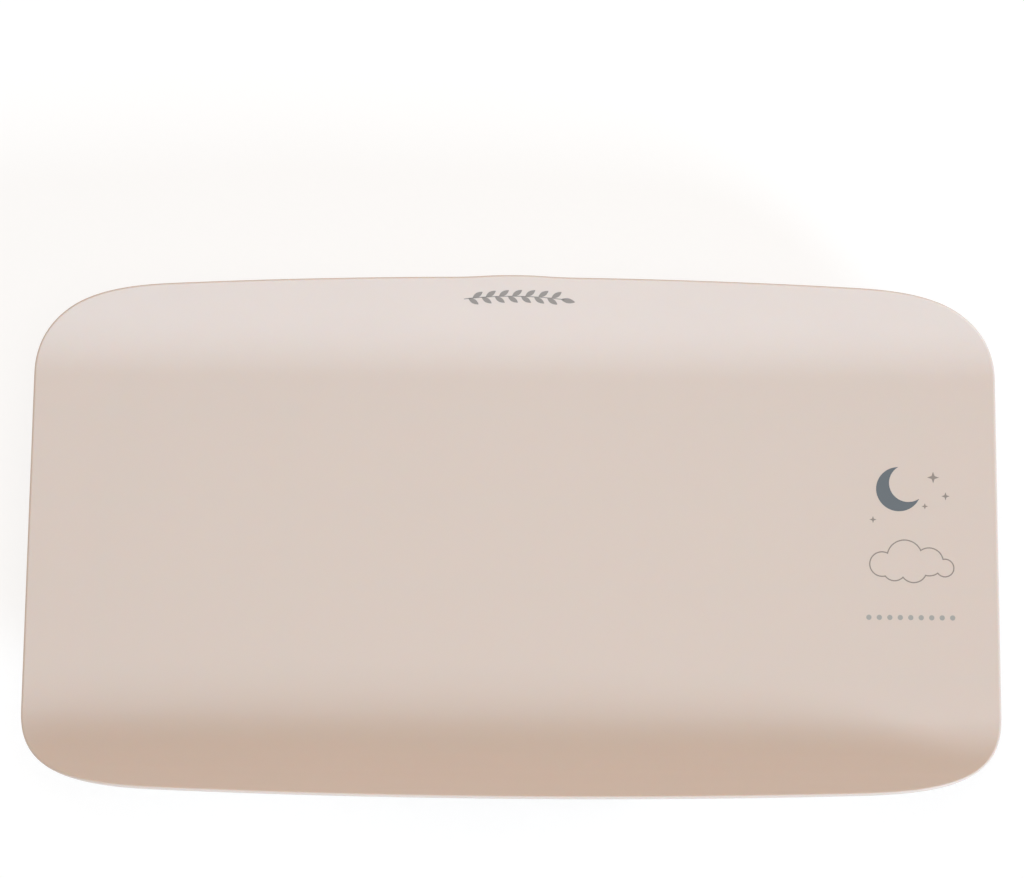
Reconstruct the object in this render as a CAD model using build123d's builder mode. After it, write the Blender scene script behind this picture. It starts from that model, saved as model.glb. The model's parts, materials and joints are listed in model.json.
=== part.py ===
from build123d import *
import math
import os

# Digital baby weighing scale: a moulded trough tray screwed to a base tub, which stands on four
# load-sensing feet and carries the display console under the front rim.
# Millimetres. X runs along the tray, the console is at -Y, Z is up. The origin is on the table
# under the middle of the tray.

# ---- driving dimensions: tray ----
tray_length = 560.0
tray_width = 300.0
floor_height = 49.0  # the weighing surface above the table
floor_width = 198.0  # flat part of the trough
bend_radius = 44.0  # from the floor to the front and rear walls
wall_angle = 50.0  # slope of those walls
edge_bow = 7.8  # how far the long edges bow out, over half the length
corner_length = 84.0  # stretch of a long edge that turns into the corner
corner_pull_along = 0.42  # how square a corner is, as shares of its two handles
corner_pull_across = 0.88
tray_wall = 3.0
lip_depth = 8.0  # turned-down lip around the edge
lip_wall = 2.6
rim_break = 1.8  # bevel along the top of the rim
hump_length = 72.0  # shallow thumb hump in the middle of the rear rim
hump_rise = 0.8
rib_wall = 2.0
tray_rib_depth = 7.0

# ---- driving dimensions: base tub ----
base_underside = 6.0
base_length = 460.0
base_width = 208.0
base_corner = 36.0
base_flare = 15.0  # lean of the side walls
base_wall = 2.4
base_edge_break = 2.5
floor_rib_height = 4.0
floor_rib_inset_y = 61.0
floor_rib_pitch = 92.0
floor_rib_count = 4
locating_rib_depth = 4.0
locating_rib_wall = 1.8
seam_gap = 0.3  # between the tub wall and the locating rib

# ---- driving dimensions: screws between base and tray ----
screw_inset_x = 100.0  # from the edge of the tub's underside
screw_inset_y = 28.0
column_size = 9.0
column_top = 34.0
screw_seat = 4.0  # material under a screw head
screw_radius = 1.5
screw_head_radius = 3.1
screw_head_height = 2.2
screw_bite = 9.0
screw_gap = 0.3
pilot_gap = 0.05
pilot_depth = 1.0  # room past the end of a screw
screw_sides = 8

# ---- driving dimensions: feet and load cells ----
foot_inset_x = 40.0  # from the edge of the tub's underside
foot_inset_y = 34.0
foot_size = 32.0
foot_cut = 7.0  # the corners of a foot are cut off
foot_bottom = 2.0
foot_flange = 2.0
foot_flange_thickness = 1.6
foot_travel = 0.5
foot_gap = 0.3
foot_rest_gap = 0.2
foot_post_size = 7.0
pad_size = 28.0
cell_size = 42.0
cell_thickness = 2.0
cell_border = 7.0
cell_slot = 3.0
cell_gap = 0.2
cell_ledge_height = 4.6  # the ledge that holds a load cell, above the tub floor
cell_rim_wall = 1.8
cell_catch_reach = 1.0  # snap catches over the edge of a load cell
cell_catch_width = 6.0
cell_catch_height = 1.2
gauge_length = 8.0
gauge_width = 5.0
gauge_height = 0.6

# ---- driving dimensions: console ----
console_reach = 29.0  # middle of the console face in front of the tub's underside
console_mid_z = 30.5
console_lean = 20.0
console_width = 146.0
console_height = 43.0
console_corner = 8.0
console_depth = 45.0
console_flare = 15.0
console_front_wall = 4.0
console_bottom = 8.0
panel_side_margin = 7.0  # console face around the panel
panel_top_margin = 3.0
panel_corner = 5.0
panel_thickness = 1.8
panel_ledge = 3.0
panel_gap = 0.15
window_height = 24.0
window_corner = 2.0
lens_margin = 2.0  # seat of the lens around the window
lens_border = 4.0  # panel left of the lens
lens_button_gap = 6.5
lens_thickness = 0.9
lcd_thickness = 2.8
lcd_gap = 0.2
frame_border = 4.0
zebra_width = 2.0
backlight_thickness = 2.0

# ---- driving dimensions: buttons, board and switches ----
button_pitch = 17.5
button_border = 5.5  # panel right of the last button
button_width = 13.0
button_height = 9.0
button_corner = 3.0
button_proud = 0.8
button_flange = 1.0
button_flange_thickness = 1.0
button_travel = 0.5
button_gap = 0.15
stem_size = 4.0
board_side_gap = 2.0  # board edge in from the edge of the console face
board_top_gap = 6.0
board_thickness = 1.6
board_depth = 8.4  # front of the board behind the console face
board_screw_inset = 3.0
board_boss_size = 6.0
board_screw_radius = 1.0
board_screw_bite = 4.0
switch_size = 6.0
switch_body = 3.4
plunger_size = 3.2
plunger_height = 0.8
connector_width = 8.0
connector_height = 5.0
connector_depth = 5.0
connector_y = -4.0
connector_pitch = 15.0
plug_inset = 13.0  # from a board screw to the first plug
battery_plug = -12.0
chip_height = 1.4
lead_size = 2.2
lead_bend = 5.0
lead_drop = 9.0
lead_turn_inset = 8.0

# ---- driving dimensions: battery compartment ----
battery_x = 0.0
battery_y = 30.0
battery_radius = 5.25
battery_length = 44.5  # with its nub
battery_nub_radius = 1.9
battery_nub_length = 0.8
battery_pitch = 10.9
battery_count = 3
pocket_wall = 1.8
pocket_gap = 0.4
contact_thickness = 0.5
contact_size = 8.0
dimple_height = 0.8
dimple_size = 3.0
spring_reach = 2.6
contact_gap = 0.1
door_thickness = 1.8
door_gap = 0.25
door_seat_gap = 0.2
hinge_barrel_radius = 1.5
hinge_barrel_length = 36.0
hinge_pin_radius = 1.0
hinge_pin_length = 2.6
hinge_pin_gap = 0.05
door_rear_relief = 1.1  # lets the door's rear edge swing past the hinge ears
ear_wall = 1.2
latch_width = 12.0
latch_wall = 1.0
latch_height = 4.5
latch_reach = 5.0
latch_root = 1.8
latch_gap = 0.5
latch_side_gap = 0.5
latch_head_gap = 0.8

# ---- worked out from the driving dimensions ----
screw_pitch_x = base_length - 2 * screw_inset_x
screw_pitch_y = base_width - 2 * screw_inset_y
foot_x = base_length / 2 - foot_inset_x
foot_y = base_width / 2 - foot_inset_y
floor_rib_y = base_width / 2 - floor_rib_inset_y
tray_underside = floor_height - tray_wall
tub_floor = base_underside + base_wall
flare_tan = math.tan(math.radians(base_flare))
side_wall = base_wall / math.cos(math.radians(base_flare))  # measured level
screw_head_z = column_top - screw_seat
cell_ledge_z = tub_floor + cell_ledge_height
foot_signs = [(1, 1), (-1, 1), (-1, -1), (1, -1)]
foot_names = ["rear_right", "rear_left", "front_left", "front_right"]
face_normal = Vector(
    0, -math.cos(math.radians(console_lean)), math.sin(math.radians(console_lean))
)
face_plane = Plane(
    origin=(0, -base_width / 2 - console_reach, console_mid_z),
    x_dir=(1, 0, 0),
    z_dir=face_normal,
)
panel_width = console_width - 2 * panel_side_margin
panel_height = console_height - 2 * panel_top_margin
board_width = console_width - 2 * board_side_gap
board_height = console_height - 2 * board_top_gap
board_screw_x = board_width / 2 - board_screw_inset
board_back = board_depth + board_thickness
opening_width = panel_width - 2 * panel_ledge
opening_height = panel_height - 2 * panel_ledge
button_names = ["power_button", "tare_button", "unit_button"]
last_button_x = panel_width / 2 - button_border - button_width / 2
button_places = [last_button_x - button_pitch * index for index in (2, 1, 0)]
lcd_width = (
    button_places[0] - button_width / 2 - lens_button_gap + panel_width / 2 - lens_border
)
window_width = lcd_width - 2 * lens_margin
window_x = lens_border + lcd_width / 2 - panel_width / 2
lcd_height = window_height + 2 * lens_margin
lcd_front = panel_thickness + lcd_gap
lcd_back = lcd_front + lcd_thickness
plunger_top = board_depth - switch_body - plunger_height
outer_plug = board_screw_x - plug_inset
inner_plug = outer_plug - connector_pitch
cell_plugs = [inner_plug, -inner_plug, -outer_plug, outer_plug]  # one for each foot's lead
connector_places = cell_plugs + [battery_plug]
# x, y, width and height of the chips on the back of the board
board_parts = [(-30, 6, 9, 9), (8, 7, 6, 5), (20, -6, 5, 3), (27, 8, 4, 8)]

os.makedirs("parts", exist_ok=True)


def facing_down(height):
    """Level plane that looks down, for work on the underside."""
    return Plane(origin=(0, 0, height), x_dir=(1, 0, 0), z_dir=(0, 0, -1))


def save(part, name):
    """Label a finished piece and write its STEP file."""
    part.label = name
    export_step(part, f"parts/{name}.step")


# ==== tray ====


def trough_line(below=0.0, lowered=0.0):
    """Section line of the trough: floor, two bends and two straight walls.

    `below` offsets it square to the weighing surface, `lowered` moves it straight down.
    """
    level = floor_height - below - lowered
    with BuildLine() as line:
        half = Line((0, level), (floor_width / 2, level))
        bend = JernArc(half @ 1, half % 1, bend_radius + below, wall_angle)
        Line(bend @ 1, bend @ 1 + (bend % 1) * tray_width / 2)
        mirror(about=Plane.YZ)
    return line.wire()


def trough_section(upper, lower):
    """Face between two trough lines, seen along X."""
    ends = [Line(upper @ end, lower @ end) for end in (0, 1)]
    with BuildSketch(Plane.YZ) as section:
        with BuildLine():
            add([upper, lower] + ends)
        make_face()
    return section.sketch


def space_above(below):
    """All the room above a surface that lies below the weighing surface, to trim ribs and walls."""
    section = trough_section(
        trough_line(below=below, lowered=-bend_radius), trough_line(below=below)
    )
    with BuildPart() as space:
        extrude(section, amount=tray_length, both=True)
    return space.part


def tray_outline(inset=0.0):
    """Tray from above: bowed long edges, straight ends, soft corners and the rear hump."""
    bow_radius = ((tray_length / 2) ** 2 + edge_bow**2) / (2 * edge_bow)
    bow_centre = tray_width / 2 - bow_radius
    corner_turn = math.degrees(
        math.asin((tray_length / 2 - corner_length) / bow_radius)
    )
    hump_turn = math.degrees(math.asin(hump_length / 2 / bow_radius))
    radius = bow_radius - inset
    crest_y = tray_width / 2 + hump_rise - inset
    end_x = tray_length / 2 - inset
    end_y = floor_width / 2
    with BuildSketch() as outline:
        with BuildLine():
            rear = CenterArc(
                (0, bow_centre), radius, 90 - hump_turn, hump_turn - corner_turn
            )
            Bezier(
                (0, crest_y),
                (hump_length / 4, crest_y),
                rear @ 0 - (rear % 0) * (hump_length / 4),
                rear @ 0,
            )
            front = CenterArc((0, -bow_centre), radius, 270, corner_turn)
            for side, edge in ((1, rear), (-1, front)):
                start = edge @ 1
                Bezier(
                    start,
                    start + (edge % 1) * (end_x - start.X) * corner_pull_along,
                    (end_x, side * end_y + (start.Y - side * end_y) * corner_pull_across),
                    (end_x, side * end_y),
                )
            Line((end_x, -end_y), (end_x, end_y))
            mirror(about=Plane.YZ)
        make_face()
    return outline.sketch


def wall_height(y):
    """Height of the weighing surface at a distance from the tray's middle line."""
    out = abs(y) - floor_width / 2
    turn = math.radians(wall_angle)
    bend_out = bend_radius * math.sin(turn)
    if out <= 0:
        return floor_height
    if out <= bend_out:
        return floor_height + bend_radius - math.sqrt(bend_radius**2 - out**2)
    bend_rise = bend_radius * (1 - math.cos(turn))
    return floor_height + bend_rise + (out - bend_out) * math.tan(turn)


def on_rim(edge):
    """True where the weighing surface meets the outside of the tray."""
    middle = edge @ 0.5
    along = edge % 0.5
    wall_start = floor_width / 2 + bend_radius * math.sin(math.radians(wall_angle))
    if abs(along.X) > 0.9999 and abs(middle.Y) < wall_start + 0.001:
        return False
    return abs(middle.Z - wall_height(middle.Y)) < 0.001


def base_outline(height, inset=0.0):
    """Length, width and corner radius of the tub's outside at a height, moved in by an inset."""
    grow = (height - base_underside) * flare_tan - inset
    return base_length + 2 * grow, base_width + 2 * grow, base_corner + grow


def base_reach(height):
    """Half length of the tub's outside at a height."""
    return base_length / 2 + (height - base_underside) * flare_tan


tray_edge = tray_outline()
rib_trim = space_above(tray_wall / 2)
locating_z = tray_underside - locating_rib_depth
locating_inset = side_wall + seam_gap
rib_bottom = tray_underside - tray_rib_depth
rib_rows = [screw_pitch_y * share for share in (-1 / 2, -1 / 6, 1 / 6, 1 / 2)]

# turned-down lip that stiffens the edge of the tray
with BuildPart() as rim_lip:
    extrude(
        trough_section(trough_line(), trough_line(lowered=lip_depth)),
        amount=tray_length,
        both=True,
    )
    with BuildSketch():
        add(tray_edge)
        add(tray_outline(lip_wall), mode=Mode.SUBTRACT)
    extrude(amount=2 * tray_width, mode=Mode.INTERSECT)

# locating rib that drops inside the tub, and the stiffening ribs inside it
with BuildPart() as inner_ribs:
    with BuildSketch(Plane.XY.offset(locating_z)):
        RectangleRounded(*base_outline(locating_z, locating_inset))
        RectangleRounded(
            *base_outline(locating_z, locating_inset + locating_rib_wall),
            mode=Mode.SUBTRACT,
        )
    extrude(amount=bend_radius)
    with BuildSketch(Plane.XY.offset(rib_bottom)):
        for row in rib_rows:
            with Locations((0, row)):
                Rectangle(tray_length, rib_wall)
        with GridLocations(screw_pitch_x, 0, 2, 1):
            Rectangle(rib_wall, screw_pitch_y)
        RectangleRounded(*base_outline(rib_bottom, locating_inset), mode=Mode.INTERSECT)
    extrude(amount=tray_rib_depth + tray_wall / 2)
    with BuildSketch(Plane.XY.offset(column_top)):
        with GridLocations(screw_pitch_x, screw_pitch_y, 2, 2):
            Rectangle(column_size, column_size)
    extrude(amount=tray_underside - column_top)
    add(rib_trim, mode=Mode.SUBTRACT)

# tapered ribs under the two ends that stand out past the tub
with BuildPart() as end_ribs:
    for row in rib_rows:
        with BuildSketch(Plane.XZ.offset(-row)):
            with BuildLine():
                Polyline(
                    (base_reach(tray_underside) + seam_gap, floor_height - tray_wall / 2),
                    (base_reach(tray_underside) + seam_gap, rib_bottom),
                    (tray_length / 2 - lip_wall / 2, floor_height - lip_depth),
                    (tray_length / 2 - lip_wall / 2, floor_height - tray_wall / 2),
                    close=True,
                )
            make_face()
            mirror(about=Plane.YZ)
        extrude(amount=rib_wall / 2, both=True)

with BuildPart() as weighing_tray:
    extrude(
        trough_section(trough_line(), trough_line(below=tray_wall)),
        amount=tray_length,
        both=True,
    )
    with BuildSketch():
        add(tray_edge)
    extrude(amount=2 * tray_width, mode=Mode.INTERSECT)
    add(rim_lip.part)
    chamfer(weighing_tray.edges().filter_by(on_rim), rim_break)
    add(inner_ribs.part)
    add(end_ribs.part)
    with BuildSketch(Plane.XY.offset(column_top)):
        with GridLocations(screw_pitch_x, screw_pitch_y, 2, 2):
            RegularPolygon(screw_radius + pilot_gap, screw_sides)
    extrude(amount=screw_bite + pilot_depth, mode=Mode.SUBTRACT)
save(weighing_tray.part, "weighing_tray")


# ==== base tub ====


def cut_square(size, cut):
    """Square with its corners cut off, the outline of a foot."""
    with BuildSketch() as square:
        Rectangle(size, size)
        chamfer(square.vertices(), cut)
    return square.sketch


cell_top = cell_ledge_z + cell_thickness
flange_size = foot_size + 2 * foot_flange
cell_frame_size = cell_size + 2 * cell_gap + 2 * cell_rim_wall
cell_frame_top = cell_top + cell_gap / 2 + cell_catch_height
foot_places = [(x * foot_x, y * foot_y) for x, y in foot_signs]
foot_opening = cut_square(foot_size + 2 * foot_gap, foot_cut)
frame_inner_x = foot_x - cell_frame_size / 2

pocket_length = (
    battery_length + dimple_height + spring_reach + 2 * contact_gap + 2 * contact_thickness
)
pocket_width = battery_pitch * (battery_count - 1) + 2 * (battery_radius + pocket_gap)
pocket_block_length = pocket_length + 2 * pocket_wall
pocket_block_width = pocket_width + 2 * pocket_wall
door_inner = base_underside + door_thickness
pocket_bottom = door_inner + door_seat_gap
battery_z = pocket_bottom + battery_radius
pocket_top = battery_z + battery_radius + pocket_gap
pocket_front_y = battery_y - pocket_block_width / 2
pocket_rear_y = battery_y + pocket_block_width / 2
hinge_y = pocket_rear_y + door_gap + hinge_barrel_radius
hinge_z = base_underside + hinge_barrel_radius
door_rear_y = hinge_y - hinge_barrel_radius - door_rear_relief
latch_front_y = pocket_front_y - latch_reach
latch_bay_y = latch_front_y - latch_gap
ear_width = hinge_pin_length + ear_wall


def console_block(front, grow, depth, bottom):
    """The console's rounded wedge from a plane behind its face, cut level at the bottom."""
    with BuildPart() as block:
        with BuildSketch(face_plane.offset(-front)):
            RectangleRounded(
                console_width + 2 * grow, console_height + 2 * grow, console_corner + grow
            )
        extrude(amount=-depth, taper=-console_flare)
        split(bisect_by=Plane.XY.offset(bottom), keep=Keep.TOP)
    return block


flare_growth = console_front_wall * math.tan(math.radians(console_flare))
console_outer = console_block(0, 0, console_depth, console_bottom)
console_inner = console_block(
    console_front_wall,
    flare_growth - base_wall / math.cos(math.radians(console_flare)),
    console_depth,
    console_bottom + base_wall,
)

with BuildPart() as tub_space:
    with BuildSketch(Plane.XY.offset(tub_floor)):
        RectangleRounded(*base_outline(tub_floor, side_wall))
    extrude(amount=floor_height + tray_wall - tub_floor, taper=-base_flare)

# frames for the load cells, columns for the tray screws, ribs and the battery pocket
with BuildPart() as tub_inside:
    with BuildSketch(Plane.XY.offset(tub_floor - base_wall / 2)):
        with Locations(*foot_places):
            Rectangle(cell_frame_size, cell_frame_size)
    extrude(amount=cell_frame_top - tub_floor + base_wall / 2)
    with BuildSketch(Plane.XY.offset(base_underside)):
        with GridLocations(screw_pitch_x, screw_pitch_y, 2, 2):
            Rectangle(column_size, column_size)
    extrude(amount=column_top - base_underside)
    with BuildSketch(Plane.XY.offset(tub_floor - base_wall / 2)):
        rib_length, rib_width, _ = base_outline(tub_floor, side_wall / 2)
        with GridLocations(0, 2 * floor_rib_y, 1, 2):
            Rectangle(rib_length, rib_wall)
        with GridLocations(floor_rib_pitch, 0, floor_rib_count, 1):
            Rectangle(rib_wall, rib_width)
    extrude(amount=floor_rib_height + base_wall / 2)
    with BuildSketch(Plane.XY.offset(base_underside)):
        with Locations((battery_x, battery_y)):
            Rectangle(pocket_block_length, pocket_block_width)
    extrude(amount=pocket_top + pocket_wall - base_underside)
    with BuildSketch(Plane.XY.offset(base_underside)):
        bay_length = pocket_front_y - latch_bay_y + pocket_wall
        with Locations((battery_x, pocket_front_y - bay_length / 2)):
            Rectangle(latch_width + 2 * (latch_side_gap + pocket_wall), bay_length)
    extrude(amount=door_inner + latch_height + latch_head_gap + pocket_wall - base_underside)
    with BuildSketch(Plane.XY.offset(base_underside)):
        with Locations((battery_x, hinge_y)):
            with GridLocations(hinge_barrel_length + 2 * door_gap + ear_width, 0, 2, 1):
                Rectangle(ear_width, 2 * hinge_barrel_radius)
    extrude(amount=2 * hinge_barrel_radius + ear_wall)

# what is cut out from below: foot openings, battery pocket, door recess, latch bay and hinge
with BuildPart() as tub_cuts:
    with BuildSketch(Plane.XY.offset(base_underside)):
        with Locations(*foot_places):
            add(foot_opening)
    extrude(amount=base_wall)
    with BuildSketch(Plane.XY.offset(tub_floor)):
        with Locations(*foot_places):
            opening = flange_size + 2 * foot_gap
            Rectangle(opening, opening)
    extrude(amount=cell_ledge_height)
    with BuildSketch(Plane.XY.offset(cell_ledge_z)):
        with Locations(*foot_places):
            opening = cell_size + 2 * cell_gap
            Rectangle(opening, opening)
    extrude(amount=cell_frame_top - cell_ledge_z)
    with BuildSketch(Plane.XY.offset(base_underside)):
        with Locations((battery_x, battery_y)):
            Rectangle(pocket_length, pocket_width)
    extrude(amount=pocket_top - base_underside)
    with BuildSketch(Plane.XY.offset(base_underside)):
        recess_front = pocket_front_y - door_gap
        recess_rear = hinge_y - hinge_barrel_radius
        with Locations((battery_x, (recess_front + recess_rear) / 2)):
            Rectangle(pocket_block_length + 2 * door_gap, recess_rear - recess_front)
        barrel_rear = hinge_y + hinge_barrel_radius + door_gap
        with Locations((battery_x, (door_rear_y + barrel_rear) / 2)):
            Rectangle(hinge_barrel_length + 2 * door_gap, barrel_rear - door_rear_y)
    extrude(amount=pocket_bottom - base_underside)
    with BuildSketch(Plane.XY.offset(base_underside)):
        with Locations((battery_x, (pocket_rear_y + barrel_rear) / 2)):
            Rectangle(hinge_barrel_length + 2 * door_gap, barrel_rear - pocket_rear_y)
    extrude(amount=2 * hinge_barrel_radius + ear_wall)
    with BuildSketch(Plane.XY.offset(base_underside)):
        with Locations((battery_x, (pocket_front_y + latch_bay_y) / 2)):
            Rectangle(latch_width + 2 * latch_side_gap, pocket_front_y - latch_bay_y)
    extrude(amount=door_inner + latch_height + latch_head_gap - base_underside)
    with BuildSketch(Plane.YZ.offset(battery_x)):
        with Locations((hinge_y, hinge_z)):
            Circle(hinge_pin_radius + hinge_pin_gap)
    extrude(
        amount=hinge_barrel_length / 2 + door_gap + hinge_pin_length + door_gap, both=True
    )

with BuildPart() as base_tub:
    with BuildSketch(Plane.XY.offset(base_underside)):
        RectangleRounded(*base_outline(base_underside))
    extrude(amount=floor_height + tray_wall - base_underside, taper=-base_flare)
    chamfer(base_tub.faces().sort_by(Axis.Z)[0].edges(), base_edge_break)
    add(console_outer.part)
    add(tub_space.part, mode=Mode.SUBTRACT)
    add(console_inner.part, mode=Mode.SUBTRACT)
    add(tub_inside.part)
    add(tub_cuts.part, mode=Mode.SUBTRACT)
    add(space_above(tray_wall), mode=Mode.SUBTRACT)
    # bosses for the board, then the recess and the opening for the panel
    with BuildSketch(face_plane.offset(-console_front_wall / 2)):
        with GridLocations(2 * board_screw_x, 0, 2, 1):
            Rectangle(board_boss_size, board_boss_size)
    extrude(amount=console_front_wall / 2 - board_depth)
    with BuildSketch(face_plane.offset(-board_depth)):
        with GridLocations(2 * board_screw_x, 0, 2, 1):
            RegularPolygon(board_screw_radius + pilot_gap, screw_sides)
    extrude(amount=board_screw_bite + pilot_depth, mode=Mode.SUBTRACT)
    with BuildSketch(face_plane):
        RectangleRounded(
            panel_width + 2 * panel_gap, panel_height + 2 * panel_gap, panel_corner
        )
    extrude(amount=-panel_thickness, mode=Mode.SUBTRACT)
    with BuildSketch(face_plane):
        RectangleRounded(opening_width, opening_height, panel_corner - panel_ledge / 2)
    extrude(amount=-console_front_wall, mode=Mode.SUBTRACT)
    with Locations(facing_down(base_underside)):
        with GridLocations(screw_pitch_x, screw_pitch_y, 2, 2):
            Hole(screw_head_radius + screw_gap, depth=screw_head_z - base_underside)
    with BuildSketch(Plane.XY.offset(screw_head_z)):
        with GridLocations(screw_pitch_x, screw_pitch_y, 2, 2):
            RegularPolygon(screw_radius + screw_gap, screw_sides)
    extrude(amount=screw_seat, mode=Mode.SUBTRACT)
    # catches that hold each load cell down
    with BuildSketch(Plane.XY.offset(cell_top + cell_gap / 2)):
        for x, y in foot_places:
            with Locations((x, y)):
                with GridLocations(cell_size + 2 * cell_gap - cell_catch_reach, 0, 2, 1):
                    Rectangle(cell_catch_reach, cell_catch_width)
    extrude(amount=cell_catch_height)
save(base_tub.part, "base_tub")


# ==== screws between base and tray ====

with BuildPart() as tray_screws:
    with BuildSketch(Plane.XY.offset(screw_head_z - screw_head_height)):
        with GridLocations(screw_pitch_x, screw_pitch_y, 2, 2):
            Circle(screw_head_radius)
    extrude(amount=screw_head_height)
    with BuildSketch(Plane.XY.offset(screw_head_z)):
        with GridLocations(screw_pitch_x, screw_pitch_y, 2, 2):
            RegularPolygon(screw_radius, screw_sides)
    extrude(amount=screw_seat + screw_bite)
save(tray_screws.part, "tray_screws")


# ==== feet and load cells ====


def foot_cup(x, y):
    """Moulded foot that slides up and down in the tub's floor and presses on a load cell."""
    flange_z = tub_floor + foot_rest_gap
    flange_top = flange_z + foot_flange_thickness
    with BuildPart() as cup:
        with BuildSketch(Plane.XY.offset(foot_bottom)):
            with Locations((x, y)):
                add(cut_square(foot_size, foot_cut))
        extrude(amount=flange_z - foot_bottom)
        with BuildSketch(Plane.XY.offset(flange_z)):
            with Locations((x, y)):
                Rectangle(flange_size, flange_size)
        extrude(amount=foot_flange_thickness)
        with BuildSketch(Plane.XY.offset(flange_top)):
            with Locations((x, y)):
                Rectangle(foot_post_size, foot_post_size)
        extrude(amount=cell_ledge_z - foot_travel - cell_gap / 2 - flange_top)
    return cup


def foot_pad(x, y):
    """Soft pad under a foot, down to the table."""
    with BuildPart() as pad:
        with BuildSketch():
            with Locations((x, y)):
                add(cut_square(pad_size, foot_cut * pad_size / foot_size))
        extrude(amount=foot_bottom)
    return pad


def load_cell(x, y):
    """Square steel plate with a tongue cut free on three sides; the foot presses on the tongue."""
    tongue = cell_size - 2 * (cell_border + cell_slot)
    slot_reach = cell_size - 2 * cell_border
    side = 1 if x > 0 else -1
    with BuildPart() as cell:
        with BuildSketch(Plane.XY.offset(cell_ledge_z)):
            with Locations((x, y)):
                Rectangle(cell_size, cell_size)
                Rectangle(slot_reach, slot_reach, mode=Mode.SUBTRACT)
            with Locations((x - side * cell_slot / 2, y)):
                Rectangle(slot_reach - cell_slot, tongue)
        extrude(amount=cell_thickness)
    return cell


for name, (x, y) in zip(foot_names, foot_places):
    save(foot_cup(x, y).part, f"foot_cup_{name}")
    save(foot_pad(x, y).part, f"foot_pad_{name}")
    save(load_cell(x, y).part, f"load_cell_{name}")

with BuildPart() as strain_gauges:
    with BuildSketch(Plane.XY.offset(cell_top)):
        with Locations(*foot_places):
            Rectangle(gauge_length, gauge_width)
    extrude(amount=gauge_height)
save(strain_gauges.part, "strain_gauges")


# ==== console: panel, lens, display and buttons ====

with BuildPart() as console_panel:
    with BuildSketch(face_plane):
        RectangleRounded(panel_width, panel_height, panel_corner - panel_gap)
        with Locations((window_x, 0)):
            Rectangle(window_width, window_height, mode=Mode.SUBTRACT)
        with Locations(*[(x, 0) for x in button_places]):
            RectangleRounded(
                button_width + 2 * button_gap,
                button_height + 2 * button_gap,
                button_corner + button_gap,
                mode=Mode.SUBTRACT,
            )
    extrude(amount=-panel_thickness)
    with BuildSketch(face_plane):
        with Locations((window_x, 0)):
            RectangleRounded(
                lcd_width + 2 * panel_gap,
                lcd_height + 2 * panel_gap,
                window_corner + panel_gap,
            )
    extrude(amount=-lens_thickness, mode=Mode.SUBTRACT)
save(console_panel.part, "console_panel")

with BuildPart() as display_window:
    with BuildSketch(face_plane):
        with Locations((window_x, 0)):
            RectangleRounded(lcd_width, lcd_height, window_corner)
    extrude(amount=-lens_thickness)
save(display_window.part, "display_window")

with BuildPart() as lcd_glass:
    with BuildSketch(face_plane.offset(-lcd_front)):
        with Locations((window_x, 0)):
            Rectangle(lcd_width, lcd_height)
    extrude(amount=-lcd_thickness)
save(lcd_glass.part, "lcd_glass")

light_width = lcd_width - 2 * frame_border
light_height = lcd_height - 2 * (frame_border + zebra_width)
zebra_y = lcd_height / 2 - frame_border / 2 - zebra_width / 2

with BuildPart() as lcd_frame:
    with BuildSketch(face_plane.offset(-lcd_back)):
        with Locations((window_x, 0)):
            Rectangle(lcd_width, lcd_height)
            Rectangle(
                light_width + 2 * panel_gap,
                light_height + 2 * panel_gap,
                mode=Mode.SUBTRACT,
            )
            with GridLocations(0, 2 * zebra_y, 1, 2):
                Rectangle(
                    light_width + 2 * panel_gap,
                    zebra_width + 2 * panel_gap,
                    mode=Mode.SUBTRACT,
                )
    extrude(amount=lcd_back - board_depth)
save(lcd_frame.part, "lcd_frame")

with BuildPart() as zebra_strips:
    with BuildSketch(face_plane.offset(-lcd_back)):
        with Locations((window_x, 0)):
            with GridLocations(0, 2 * zebra_y, 1, 2):
                Rectangle(light_width, zebra_width)
    extrude(amount=lcd_back - board_depth)
save(zebra_strips.part, "zebra_strips")

with BuildPart() as backlight_plate:
    with BuildSketch(face_plane.offset(-lcd_back)):
        with Locations((window_x, 0)):
            Rectangle(light_width, light_height)
    extrude(amount=-backlight_thickness)
save(backlight_plate.part, "backlight_plate")


def push_button(x):
    """Button cap with a flange behind the panel and a stem that reaches for its switch."""
    flange_front = panel_thickness + button_gap
    flange_back = flange_front + button_flange_thickness
    with BuildPart() as button:
        with BuildSketch(face_plane.offset(button_proud)):
            with Locations((x, 0)):
                RectangleRounded(button_width, button_height, button_corner)
        extrude(amount=-button_proud - flange_front)
        cap_face = button.faces().sort_by(Axis((0, 0, 0), face_normal))[-1]
        chamfer(cap_face.edges(), button_proud / 2)
        with BuildSketch(face_plane.offset(-flange_front)):
            with Locations((x, 0)):
                Rectangle(
                    button_width + 2 * button_flange, button_height + 2 * button_flange
                )
        extrude(amount=-button_flange_thickness)
        with BuildSketch(face_plane.offset(-flange_back)):
            with Locations((x, 0)):
                Rectangle(stem_size, stem_size)
        extrude(amount=flange_back + button_travel + button_gap - plunger_top)
    return button


for name, x in zip(button_names, button_places):
    save(push_button(x).part, name)


# ==== board and what sits on it ====

with BuildPart() as main_board:
    with BuildSketch(face_plane.offset(-board_depth)):
        Rectangle(board_width, board_height)
        with GridLocations(2 * board_screw_x, 0, 2, 1):
            RegularPolygon(
                board_screw_radius + screw_gap, screw_sides, mode=Mode.SUBTRACT
            )
    extrude(amount=-board_thickness)
save(main_board.part, "main_board")

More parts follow.
